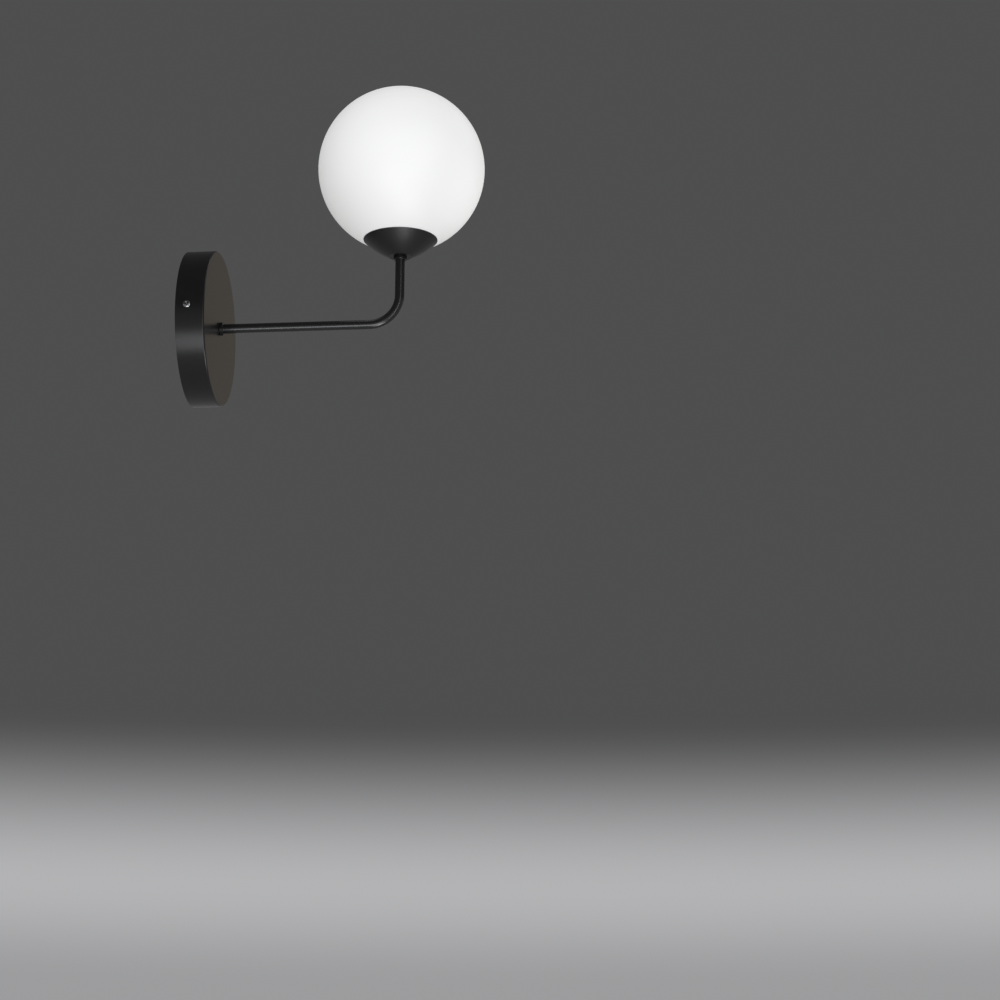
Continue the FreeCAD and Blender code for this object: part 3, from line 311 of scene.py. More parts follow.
@dataclass(frozen=True)
class ThreadedCoat(PowderCoat):
    """The tube's coat, with its rolled threads inside the cup and inside the lampholder."""

    rough: float = 0.25
    blotch: float = 0.03
    shine: float = 0.61
    grain_deep: float = 0.0003 * MM
    peel_deep: float = 0.001 * MM
    pitch: float = 0.75 * MM
    thread_deep: float = 0.30 * MM
    level_end: float = 22.5 * MM
    upright_start: float = 60.2 * MM

    def relief(self, book: NodeBook) -> Sock:
        """Return the surface's direction over the grain and the two threads.

        Args:
            book: The material's nodes.

        Returns:
            The direction.
        """
        x, y, z = book.split(book.place())
        turn = 2 * math.pi / self.pitch
        level = (x * turn - z.angle_to(y)).wave() * (x < self.level_end)
        upright = (z * turn - y.angle_to(x - ARM_REACH)).wave() * (z > self.upright_start)
        thread = (level + upright) * 0.5 + 0.5
        return book.bump(thread, self.thread_deep, 1.0, super().relief(book))


@dataclass(frozen=True)
class OpalGlass(Finish):
    """Matt opal glass, lit from within, with faint seeds. Painted shade dims its glow low down, and painted
    light brightens the side away from the wall.
    """

    tone: Colour = (0.76, 0.76, 0.755)
    # Painted shade: the glow is dimmer low down, for the shade that the bulb's housing and holder cast on the
    # glass.
    glow_painted_shade: Colour = (0.205, 0.202, 0.198)
    glow_high: Colour = (0.295, 0.295, 0.293)
    # Painted light: extra glow on the side that faces away from the wall and down, for the light that falls
    # on that side.
    glow_painted_light: Colour = (0.425, 0.425, 0.42)
    low: float = 78 * MM
    high: float = 150 * MM
    # The direction and the span of the painted light on the glass.
    painted_light_lean: Direction = (0.94, 0.0, -0.34)
    lean_start: float = 0.62
    lean_full: float = 1.15
    cloud: float = 24 * MM
    seed: float = 5 * MM
    seed_tone: Colour = (0.66, 0.66, 0.66)
    rough: float = 0.42
    patch: float = 4 * MM
    matt: float = 0.5 * MM
    matt_deep: float = 0.006 * MM
    ripple: float = 9 * MM
    ripple_deep: float = 0.03 * MM
    shine: float = 0.4

    def write(self, book: NodeBook) -> None:
        """Write the glass's nodes.

        Args:
            book: The material's nodes.
        """
        height = book.split(book.place())[2]
        cloud = book.noise(self.cloud, 2.0)
        # Painted light: brighter glow where the glass faces away from the wall and down.
        away = book.toward(book.facing(), self.painted_light_lean).eased(self.lean_start, self.lean_full)
        # Painted shade: the glow fades to its dimmest low down.
        glow = book.mixed(height.eased(self.low, self.high), self.glow_painted_shade, self.glow_high)
        glow = book.mixed(away, glow, self.glow_painted_light)
        glow = book.mixed(cloud * 0.06, glow, self.glow_high)
        seed = book.cells(self.seed).eased(0.06, 0.02)
        tone = book.mixed(cloud * 0.5, self.tone, scaled(self.tone, 0.975))
        tone = book.mixed(seed * 0.12, tone, self.seed_tone)
        ripple = book.bump(book.noise(self.ripple, 1.0), self.ripple_deep, 0.5)
        relief = book.bump(book.noise(self.matt, 3.0), self.matt_deep, 0.6, ripple)
        rough = book.noise(self.patch, 2.0) * 0.08 + self.rough
        book.surface(Base_Color=tone, Roughness=rough, Normal=relief, Emission_Color=glow,
                     Emission_Strength=1.0, Specular_IOR_Level=self.shine)


@dataclass(frozen=True)
class PlatedSheet(Finish):
    """Zinc-plated or spring steel: pale blotches in the plating and fine roll marks along one way."""

    tone: Colour = (0.60, 0.61, 0.62)
    stain: Colour = (0.50, 0.50, 0.49)
    rough: float = 0.34
    along: Direction = (1.0, 0.06, 1.0)
    blotch: float = 5 * MM
    line: float = 0.22 * MM
    line_deep: float = 0.006 * MM
    dimple: float = 1.6 * MM
    dimple_deep: float = 0.01 * MM

    def write(self, book: NodeBook) -> None:
        """Write the plating's nodes.

        Args:
            book: The material's nodes.
        """
        blotch = book.noise(self.blotch, 4.0, warp=0.6).eased(0.38, 0.66)
        lines = book.noise(self.line, 3.0, book.stretched(book.place(), self.along))
        tone = book.mixed(blotch * 0.5, self.tone, self.stain)
        tone = book.mixed(lines.eased(0.5, 0.75) * 0.15, tone, scaled(self.tone, 0.8))
        rough = blotch * 0.10 + lines * 0.14 + (self.rough - 0.10)
        dimples = book.bump(book.noise(self.dimple, 2.0), self.dimple_deep, 0.5)
        relief = book.bump(lines, self.line_deep, 0.7, dimples)
        book.surface(Base_Color=tone, Metallic=1.0, Roughness=rough, Normal=relief)


@dataclass(frozen=True)
class TurnedMetal(Finish):
    """Brass, nickel or plated screws: turning marks, slight tarnish in blotches and brighter wear."""

    tone: Colour
    tarnish: Colour
    rough: float
    spread: float = 0.35
    patch: float = 2.2 * MM
    mark: float = 0.15 * MM
    mark_deep: float = 0.004 * MM

    def write(self, book: NodeBook) -> None:
        """Write the metal's nodes.

        Args:
            book: The material's nodes.
        """
        patch = book.noise(self.patch, 4.0, warp=0.8).eased(0.42, 0.72)
        marks = book.noise(self.mark, 2.0, book.stretched(book.place(), (0.15, 1.0, 1.0)))
        tone = book.mixed(patch * self.spread, self.tone, self.tarnish)
        rough = patch * 0.12 + marks * 0.10 + (self.rough - 0.06)
        book.surface(Base_Color=tone, Metallic=1.0, Roughness=rough,
                     Normal=book.bump(marks, self.mark_deep, 0.6))


@dataclass(frozen=True)
class Moulded(Finish):
    """Moulded plastic, rubber or ceramic: a fine spark-eroded grain, faint flow marks and some depth."""

    tone: Colour
    shade: Colour
    rough: float
    grain: float = 0.25 * MM
    grain_deep: float = 0.006 * MM
    depth: float = 0.0
    coat: float = 0.0
    flow: float = 6 * MM
    speck: float = 0.7 * MM
    patch: float = 1.5 * MM
    light_depth: Direction = (0.8 * MM, 0.8 * MM, 0.7 * MM)

    def write(self, book: NodeBook) -> None:
        """Write the plastic's nodes.

        Args:
            book: The material's nodes.
        """
        flow = book.noise(self.flow, 3.0, book.stretched(book.place(), (1.0, 1.0, 0.35)), 0.5)
        speck = book.noise(self.speck, 3.0).eased(0.62, 0.80)
        tone = book.mixed(flow * 0.5, self.tone, self.shade)
        tone = book.mixed(speck * 0.2, tone, self.shade)
        rough = book.noise(self.patch, 3.0) * 0.12 + (self.rough - 0.06)
        relief = book.bump(book.noise(self.grain, 2.0), self.grain_deep, 0.8)
        book.surface(Base_Color=tone, Roughness=rough, Normal=relief, Coat_Weight=self.coat,
                     Subsurface_Weight=self.depth, Subsurface_Radius=self.light_depth,
                     Subsurface_Scale=1.0)


@dataclass(frozen=True)
class WireSleeve(Finish):
    """A wire's silicone sleeve: a stripe down one side, or plain, with faint rings from the extruder."""

    tone: Colour = (0.25, 0.10, 0.05)
    stripe: Colour = (0.21, 0.085, 0.045)
    edge: float = 0.15
    edge_soft: float = 0.08
    ring: float = 0.5 * MM
    ring_deep: float = 0.012 * MM
    patch: float = 3 * MM

    def write(self, book: NodeBook) -> None:
        """Write the sleeve's nodes.

        Args:
            book: The material's nodes.
        """
        side = book.split(book.facing())[0]
        stripe = side.eased(self.edge - self.edge_soft, self.edge + self.edge_soft)
        rings = book.noise(self.ring, 2.0)
        tone = book.mixed(stripe, self.tone, self.stripe)
        tone = book.mixed(book.noise(self.patch, 2.0) * 0.25, tone, scaled(self.tone, 0.8))
        book.surface(Base_Color=tone, Roughness=rings * 0.12 + 0.40,
                     Normal=book.bump(rings, self.ring_deep, 0.7))


@dataclass(frozen=True)
class FrostedGlow(Finish):
    """The bulb's frosted candle: even milky glow, stronger round the belly than at the point."""

    tone: Colour = (0.86, 0.855, 0.83)
    glow_point: Colour = (0.16, 0.153, 0.14)
    glow_belly: Colour = (0.27, 0.26, 0.235)
    belly: float = 150 * MM
    point: float = 184 * MM
    frost: float = 0.3 * MM
    frost_deep: float = 0.01 * MM
    cloud: float = 8 * MM

    def write(self, book: NodeBook) -> None:
        """Write the frost's nodes.

        Args:
            book: The material's nodes.
        """
        height = book.split(book.place())[2]
        frost = book.noise(self.frost, 3.0)
        glow = book.mixed(height.eased(self.belly, self.point), self.glow_belly, self.glow_point)
        tone = book.mixed(book.noise(self.cloud, 2.0) * 0.4, self.tone, scaled(self.tone, 0.95))
        book.surface(Base_Color=tone, Roughness=frost * 0.10 + 0.45,
                     Normal=book.bump(frost, self.frost_deep, 0.8),
                     Emission_Color=glow, Emission_Strength=1.0)


COAT = PowderCoat("black_powder_coat", "black_coat")
DISH_COAT = PowderCoat("dish_powder_coat", "black_coat", rough=0.42, shine=0.45)
TUBE_COAT = ThreadedCoat("tube_powder_coat", "black_coat")
OPAL = OpalGlass("opal_ball_glass", "opal_glass")
SHEET = PlatedSheet("zinc_plated_sheet", "zinc_sheet")
SPRING = PlatedSheet("spring_steel_strip", "spring_steel", tone=(0.46, 0.46, 0.48), stain=(0.36, 0.36, 0.37),
                     rough=0.30, along=(1.0, 1.0, 0.08))
SCREW = TurnedMetal("zinc_plated_screw", "zinc_screw", (0.72, 0.72, 0.71), (0.50, 0.50, 0.49), 0.20)
# Painted shade: a darker copy of the zinc plating, for the dark reflections on the cup's side screws.
SHADED_CUP_SCREW = TurnedMetal("zinc_screw_painted_shade", "zinc_screw", (0.36, 0.36, 0.37), (0.24, 0.24, 0.24), 0.16)
BRASS = TurnedMetal("turned_brass", "brass", (0.76, 0.58, 0.28), (0.50, 0.36, 0.17), 0.26)
NICKEL = TurnedMetal("bulb_cap_nickel", "bulb_nickel", (0.72, 0.70, 0.66), (0.52, 0.50, 0.46), 0.20,
                     spread=0.25)
TIN = TurnedMetal("solder_tin", "zinc_sheet", (0.66, 0.66, 0.65), (0.46, 0.46, 0.45), 0.36)
SILICONE = Moulded("clear_silicone_ring", "clear_silicone", (0.74, 0.74, 0.72), (0.64, 0.64, 0.62), 0.34,
                   grain=0.6 * MM, grain_deep=0.010 * MM, depth=0.25)
BLOCK = Moulded("block_nylon", "block_plastic", (0.80, 0.80, 0.77), (0.71, 0.71, 0.68), 0.36, depth=0.1)
BUSH = Moulded("bush_nylon", "bush_plastic", (0.70, 0.70, 0.68), (0.60, 0.60, 0.58), 0.46)
HOLDER = Moulded("holder_black", "holder_plastic", (0.026, 0.026, 0.025), (0.019, 0.019, 0.018), 0.34,
                 grain=0.35 * MM, grain_deep=0.008 * MM)
CERAMIC = Moulded("carrier_glazed", "carrier_ceramic", (0.78, 0.76, 0.70), (0.70, 0.67, 0.60), 0.30,
                  grain=0.8 * MM, grain_deep=0.010 * MM, coat=0.4)
HOUSING = Moulded("bulb_white_plastic", "bulb_housing", (0.84, 0.84, 0.82), (0.77, 0.77, 0.75), 0.30,
                  grain=0.5 * MM, grain_deep=0.004 * MM, depth=0.1)
BLACK_GLASS = Moulded("bulb_black_bead", "bulb_black_glass", (0.018, 0.017, 0.016), (0.030, 0.028, 0.025),
                      0.14, grain=1.0 * MM, grain_deep=0.02 * MM, coat=0.5)
LIVE = WireSleeve("sleeve_brown", "wire_live")
NEUTRAL = WireSleeve("sleeve_blue", "wire_neutral", tone=(0.05, 0.15, 0.40), stripe=(0.045, 0.13, 0.35))
EARTH = WireSleeve("sleeve_green_yellow", "wire_earth", tone=(0.10, 0.30, 0.05), stripe=(0.72, 0.62, 0.06),
                   edge=0.35)
FROST = FrostedGlow("bulb_frosted_candle", "bulb_frosted")


# Mesh making


class Drive(Enum):
    """The recess for a driver.

    Its numbers are its reach and half width in head radii, its depth in head heights, its walls' taper in
    half widths and its arms' turns in degrees.
    """

    CROSS = (0.58, 0.15, 0.72, 0.45, (0, 90))
    SLOT = (2.0, 0.13, 0.45, 0.0, (0,))


def new_piece(name: str, points: Iterable[Vector], faces: Faces) -> Piece:
    """Make an object.

    Args:
        name: Its name.
        points: Its points.
        faces: Its faces, each a row of numbers of points.

    Returns:
        The object, in the scene.
    """
    mesh = bpy.data.meshes.new(name)
    mesh.from_pydata([tuple(p) for p in points], [], faces)
    mesh.validate()
    piece = bpy.data.objects.new(name, mesh)
    bpy.context.scene.collection.objects.link(piece)
    soften(piece)
    return piece


def soften(piece: Piece, sharp: float = 32.0) -> None:
    """Shade a piece smooth but for edges sharper than an angle in degrees."""
    piece.data.polygons.foreach_set("use_smooth", [True] * len(piece.data.polygons))
    piece.data.set_sharp_from_angle(angle=math.radians(sharp))


def skin_faces(rows: int, steps: int, capped: bool) -> Faces:
    """Return the faces of a skin of rows round an axis.

    Args:
        rows: How many rows it has.
        steps: How many points a row has.
        capped: Whether both ends have a cap, or else the last row joins the first.

    Returns:
        The faces.
    """
    faces: Faces = []
    for row in range(rows - 1 if capped else rows):
        a, b = row * steps, (row + 1) % rows * steps
        for step in range(steps):
            after = (step + 1) % steps
            faces.append((a + step, a + after, b + after, b + step))
    if capped:
        faces.append(tuple(reversed(range(steps))))
        faces.append(tuple((rows - 1) * steps + step for step in range(steps)))
    return faces


def turned(name: str, rows: list[Row], frame_at: Matrix, steps: int, capped: bool = True) -> Piece:
    """Turn a skin whose rows give a radius and a height for each angle.

    Args:
        name: The piece's name.
        rows: One function of the angle for each row, which gives (radius, height).
        frame_at: Where the piece's own axis Z stands.
        steps: Points round the axis.
        capped: Whether both ends have a cap, or else the last row joins the first.

    Returns:
        The piece.
    """
    points = []
    for row in rows:
        for step in range(steps):
            angle = 2 * math.pi * step / steps
            radius, height = row(angle)
            points.append(frame_at @ Vector((radius * math.cos(angle), radius * math.sin(angle), height)))
    return new_piece(name, points, skin_faces(len(rows), steps, capped))


def plain(radius: float, height: float) -> Row:
    """Return a row that is a plain circle."""
    return lambda angle: (radius, height)


def rounded(corners: Profile, radius: float, steps: int = 4, most: float = 0.45) -> Profile:
    """Round the inner corners of an open outline.

    Args:
        corners: The outline's (radius, height) points.
        radius: The round's size, which is less where a run is short.
        steps: Points in each round.
        most: The share of a run that one round may take.

    Returns:
        The outline with its rounds.
    """
    made: Profile = [corners[0]]
    for before, here, after in zip(corners, corners[1:], corners[2:]):
        a, b, c = (Vector(p) for p in (before, here, after))
        cut = min(radius, (a - b).length * most, (c - b).length * most)
        start, finish = b + (a - b).normalized() * cut, b + (c - b).normalized() * cut
        for step in range(steps + 1):
            t = step / steps
            made.append(tuple(start * (1 - t) ** 2 + b * (2 * t * (1 - t)) + finish * t ** 2))
    made.append(corners[-1])
    return made


def block_at(low: Vector, high: Vector, taper: float, frame_at: Matrix) -> Piece:
    """Make a cutter: a block whose lower end is narrower.

    Args:
        low: Its lowest corner.
        high: Its highest corner.
        taper: How much narrower it is on each side.
        frame_at: The frame that it stands in.

    Returns:
        The block.
    """
    points = []
    for z, inset in ((low.z, taper), (high.z, 0.0)):
        for x, y in ((low.x + inset, low.y + inset), (high.x - inset, low.y + inset),
                     (high.x - inset, high.y - inset), (low.x + inset, high.y - inset)):
            points.append(frame_at @ Vector((x, y, z)))
    return new_piece("cutter", points, skin_faces(2, 4, True))


def carve(piece: Piece, cutters: list[Piece]) -> None:
    """Cut shapes out of a piece.

    Args:
        piece: The piece, whose mesh is changed.
        cutters: The shapes, which are removed.
    """
    for cutter in cutters:
        cut = piece.modifiers.new("cut", "BOOLEAN")
        cut.operation, cut.solver, cut.object = "DIFFERENCE", "EXACT", cutter
    depsgraph = bpy.context.evaluated_depsgraph_get()
    mesh = bpy.data.meshes.new_from_object(piece.evaluated_get(depsgraph))
    piece.modifiers.clear()
    piece.data = mesh
    for cutter in cutters:
        bpy.data.objects.remove(cutter)


def joined(name: str, pieces: list[Piece]) -> Piece:
    """Join pieces into one.

    Args:
        name: The new piece's name.
        pieces: The pieces, which are removed.

    Returns:
        The new piece.
    """
    points, faces = [], []
    for piece in pieces:
        base = len(points)
        points += [v.co.copy() for v in piece.data.vertices]
        faces += [tuple(base + i for i in polygon.vertices) for polygon in piece.data.polygons]
        bpy.data.objects.remove(piece)
    return new_piece(name, points, faces)


def frame_on(place: Vector, axis: Vector, turn: float) -> Matrix:
    """Return the frame whose Z lies along an axis at a place, turned about it by an angle in degrees."""
    return (Matrix.Translation(place) @ axis.to_track_quat("Z", "Y").to_matrix().to_4x4()
            @ Matrix.Rotation(math.radians(turn), 4, "Z"))


def side_stands(x: float, y: float, z: float, turns: Numbers) -> list[Matrix]:
    """Return the frames on two seats that face out along Y, one on either side."""
    return [frame_on(Vector((x, side * y, z)), Vector((0, side, 0)), turn)
            for side, turn in zip((-1, 1), turns)]


@dataclass(frozen=True)
class Screw:
    """A kind of screw: a head on a seat, a threaded shank behind it and a recess for the driver.

    Head and shank are radii, and its own Z runs from the seat out through the head.
    """

    head: float
    head_height: float
    shank: float
    length: float
    drive: Drive
    domed: bool = True
    pitch: float = 0.7 * MM
    point: float = 0.3 * MM
    neck: float = 0.25 * MM
    rows_per_turn: int = 6
    steps: int = 48
    crown_angles: Numbers = (0.0, 0.2, 0.42, 0.66, 0.92, 1.18, 1.38)

    def thread(self, height: float, deep: float, angle: float) -> Pair:
        """Return a spot of the shank at a height and an angle, where the thread is cut in by a depth."""
        phase = (height / self.pitch - angle / (2 * math.pi)) % 1.0
        return self.shank - deep * abs(2 * phase - 1), height

    def shank_rows(self) -> list[Row]:
        """Work out the shank's rows.

        Returns:
            The rows, from its point to the plain neck under the head.
        """
        start, finish = self.point - self.length, -self.neck
        count = max(8, int((finish - start) / self.pitch * self.rows_per_turn))
        rows = [plain(self.shank * 0.62, -self.length), plain(self.shank * 0.84, start)]
        for index in range(1, count):
            share = index / count
            deep = 0.55 * self.pitch * min(1.0, share * 6, (1 - share) * 6)
            rows.append(partial(self.thread, start + (finish - start) * share, deep))
        return [*rows, plain(self.shank, finish)]

    def head_outline(self) -> Profile:
        """Work out the head's outline.

        Returns:
            The outline, from the seat round the edge to the top.
        """
        head, tall = self.head, self.head_height
        if self.domed:
            edge = 0.06 * tall
            crown = [(head * math.cos(t) ** 0.7, tall * (0.42 + 0.58 * math.sin(t)))
                     for t in self.crown_angles]
            return [(self.shank, 0.0), (head - edge, 0.0), (head, edge), *crown]
        edge = 0.12 * tall
        return [(self.shank, 0.0), (head - edge * 0.5, 0.0), (head, edge * 0.5), (head, tall - edge),
                (head - edge, tall)]

    def recess(self, stand: Matrix) -> list[Piece]:
        """Make the cutters of the driver's recess.

        Args:
            stand: The frame on the screw's seat.

        Returns:
            A cutter for each arm.
        """
        reach, half, deep, taper, turns = self.drive.value
        reach, half, deep = self.head * reach, self.head * half, self.head_height * deep
        low = Vector((-reach, -half, self.head_height - deep))
        high = Vector((reach, half, self.head_height * 1.5))
        return [block_at(low, high, half * taper, stand @ Matrix.Rotation(math.radians(turn), 4, "Z"))
                for turn in turns]

    def build(self, name: str, stand: Matrix) -> Piece:
        """Build one screw.

        Args:
            name: The piece's name.
            stand: The frame on the screw's seat.

        Returns:
            The screw, with its recess cut.
        """
        rows = self.shank_rows() + [plain(*spot) for spot in self.head_outline()]
        piece = turned(name, rows, stand, self.steps)
        carve(piece, self.recess(stand))
        soften(piece, 30.0)
        return piece

    def build_set(self, name: str, stands: list[Matrix]) -> Piece:
        """Return one piece with a screw on each seat."""
        return joined(name, [self.build(f"{name}_{number}", stand) for number, stand in enumerate(stands)])


# Sub-assemblies


@dataclass
class Assembly:
    """A sub-assembly: it dresses nodes of the frame and puts its own pieces in the place of others."""

    def dress(self, finishes: dict[str, Finish]) -> None:
        """Give nodes of the frame their finishes.

        Args:
            finishes: The finish of each node.
        """
        for node, finish in finishes.items():
            piece = frame["nodes"][node]
            piece.data.materials.clear()
            piece.data.materials.append(finish.material())
            log.info("dressed %s in %s", node, finish.name)

    def stand_in(self, piece: Piece, node: str, finish: Finish, body: str = "root") -> None:
        """Put a piece in a node's place.

        Args:
            piece: The new piece.
            node: The node that it replaces.
            finish: Its finish.
            body: The body that it rides on.
        """
        piece.data.materials.clear()
        piece.data.materials.append(finish.material())
        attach(piece, body)
        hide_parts(node)
        log.info("built %s for %s, %d faces", piece.name, node, len(piece.data.polygons))


@dataclass
class WallCup(Assembly):
    """The wall cup, the bracket inside it and the two cross-head screws in its sides."""

    screw: Screw = Screw(head=3.2 * MM, head_height=2.0 * MM, shank=2.0 * MM, length=7.0 * MM,
                         drive=Drive.CROSS)
    screw_out: float = 9.8 * MM
    screw_seat: float = 65.0 * MM
    screw_turns: Numbers = (18.0, 61.0)

    def build(self) -> None:
        """Make the screws and dress the cup."""
        stands = side_stands(self.screw_out, self.screw_seat, 0.0, self.screw_turns)
        self.stand_in(self.screw.build_set("cup_side_screws", stands), "canopy_screws", SHADED_CUP_SCREW)
        self.dress({"canopy": COAT, "wall_bracket": SHEET})


@dataclass
class Arm(Assembly):
    """The bent tube with its collars, and the washer, nut and bushes at its ends."""

    def build(self) -> None:
        """Dress the arm."""
        self.dress({"arm_tube": TUBE_COAT, "arm_collar": COAT, "dish_collar": COAT, "arm_washer": SHEET,
                    "arm_nut": SHEET, "tube_bushes": BUSH})


@dataclass
class Dish(Assembly):
    """The dish under the ball, with the sprung fingers and what clamps them."""

    def build(self) -> None:
        """Dress the dish."""
        self.dress({"globe_dish": DISH_COAT, "globe_springs": SPRING, "dish_washer": SHEET,
                    "dish_nut": SHEET})


@dataclass
class OpalBall(Assembly):
    """The opal ball and the ring on its edge."""

    def build(self) -> None:
        """Dress the ball."""
        self.dress({"globe": OPAL, "globe_grommet": SILICONE})


@dataclass
class ScrewFit:
    """The round thread that the bulb and its holder share."""

    pitch: float = 2.82 * MM
    crest: float = 6.90 * MM
    root: float = 6.22 * MM
    rows_per_turn: int = 20
    steps: int = 96

    def radius(self, angle: float, height: float, share: float = 1.0) -> float:
        """Return the thread's radius, with a share of the thread left that is 0 past a run-out."""
        wave = 0.5 + 0.5 * math.cos(2 * math.pi * height / self.pitch - angle)
        return self.crest - (self.crest - self.root) * (1 - wave) * share

    def spot(self, height: float, share: float, angle: float) -> Pair:
        """Return a spot of a wall with a share of the thread left."""
        return self.radius(angle, height, share), height

    def levels(self, start: float, finish: float, run_out: float) -> list[Pair]:
        """Return where a threaded wall's rows lie.

        Args:
            start: The height at which the thread starts.
            finish: The height at which it ends.
            run_out: The height over which it fades at each end.

        Returns:
            Each row's height and how much of the thread is left there.
        """
        count = int((finish - start) / self.pitch * self.rows_per_turn)
        levels = []
        for index in range(count + 1):
            height = start + (finish - start) * index / count
            share = min(1.0, (height - start) / run_out, (finish - height) / run_out)
            levels.append((height, share * share * (3 - 2 * share)))
        return levels


@dataclass
class Lampholder(Assembly):
    """The lampholder: two moulded halves, the contact carrier and the threaded shell."""

    shell_gap: float = 0.12 * MM
    shell_sheet: float = 0.35 * MM
    shell_lip: float = 7.1 * MM
    shell_foot: float = 5.5 * MM
    shell_edge: float = 0.1 * MM
    shell_flare: float = 0.12 * MM
    run_out: float = 1.6 * MM
    clamp_head_height: float = 0.5 * MM
    clamp_length: float = 0.9 * MM
    clamp_pitch: float = 0.45 * MM
    clamp_turns: Numbers = (25.0, 112.0)

    def wall(self, fit: ScrewFit, out: float, height: float, share: float, angle: float) -> Pair:
        """Return a spot of the shell's wall, so far out from its inner side, with a share of the thread."""
        inner = self.shell_lip * (1 - share) + (fit.radius(angle, height) + self.shell_gap) * share
        return inner + out, height

    def shell(self, fit: ScrewFit) -> Piece:
        """Build the threaded shell, which follows the bulb's own thread.

        Args:
            fit: The thread.

        Returns:
            The shell.
        """
        low, high = (corner.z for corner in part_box("lampholder_shell"))
        foot, lip, edge = self.shell_foot, self.shell_lip, self.shell_edge
        outer = lip + self.shell_sheet
        levels = fit.levels(low + self.run_out, high - self.run_out, self.run_out)
        inside, outside = ([partial(self.wall, fit, out, *level) for level in levels]
                           for out in (0.0, self.shell_sheet))
        rows = [plain(foot, low + self.shell_sheet), plain(lip, low + self.shell_sheet), *inside,
                plain(lip, high - edge), plain(lip + self.shell_flare, high), plain(outer - edge, high),
                plain(outer, high - edge), *reversed(outside), plain(outer, low), plain(foot, low)]
        return turned("holder_screw_shell", rows, BULB_FRAME, fit.steps, capped=False)

    def clamp_screws(self) -> Piece:
        """Build the grub screws that clamp the wires in the holder's terminals.

        Returns:
            The two screws as one piece.
        """
        low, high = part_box("holder_terminal_screws")
        middle, head = (low + high) / 2, (high.z - low.z) / 2
        screw = Screw(head, self.clamp_head_height, head * 0.96, self.clamp_length, Drive.SLOT,
                      domed=False, pitch=self.clamp_pitch)
        stands = side_stands(middle.x, high.y - self.clamp_head_height, middle.z, self.clamp_turns)
        return screw.build_set("holder_clamp_screws", stands)

    def build(self, fit: ScrewFit) -> None:
        """Make the shell and the small screws, and dress the rest.

        Args:
            fit: The bulb's thread.
        """
        self.stand_in(self.shell(fit), "lampholder_shell", BRASS)
        self.stand_in(self.clamp_screws(), "holder_terminal_screws", SCREW)
        self.dress({"lampholder_cap": HOLDER, "lampholder_body": HOLDER, "holder_grub_screw": SCREW,
                    "contact_carrier": CERAMIC, "holder_terminals": BRASS, "centre_contact": BRASS})


@dataclass
class Bulb(Assembly):
    """The candle bulb: tip, black bead, threaded cap, white housing and frosted candle."""

    foot: float = 5.9 * MM
    chamfer: float = 1.0 * MM
    run_out: float = 1.5 * MM
    neck_start: float = 13.6 * MM
    flare_start: float = 14.0 * MM
    flare_end: float = 17.0 * MM
    flare: float = 8.5 * MM
    groove: Numbers = (0.9 * MM, 0.7 * MM, 0.5 * MM, 0.3 * MM)
    groove_deep: float = 0.25 * MM
    rim_edge: float = 0.1 * MM
    skirt_round: float = 0.8 * MM

    def cap(self, fit: ScrewFit) -> Piece:
        """Build the threaded cap with its flared skirt, whose rim has a groove rolled in.

        Args:
            fit: The thread.

        Returns:
            The cap.
        """
        low, high = (corner.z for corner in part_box("bulb_cap"))
        finish = low + self.neck_start
        levels = fit.levels(low + self.chamfer, finish, self.run_out)
        inner = self.flare - self.groove_deep
        groove = zip((self.flare, inner, inner, self.flare), self.groove)
        skirt = [(fit.crest, finish), (fit.crest, low + self.flare_start), (self.flare, low + self.flare_end),
                 *((radius, high - drop) for radius, drop in groove), (self.flare - self.rim_edge, high)]
        rows = [plain(self.foot, low), *(partial(fit.spot, *level) for level in levels),
                *(plain(*spot) for spot in rounded(skirt, self.skirt_round)[1:])]
        return turned("bulb_screw_cap", rows, BULB_FRAME, fit.steps)

    def build(self, fit: ScrewFit) -> None:
        """Make the cap and dress the rest."""
        self.stand_in(self.cap(fit), "bulb_cap", NICKEL, "bulb")
        self.dress({"bulb_tip": TIN, "bulb_insulator": BLACK_GLASS, "bulb_housing": HOUSING,
                    "bulb_envelope": FROST})


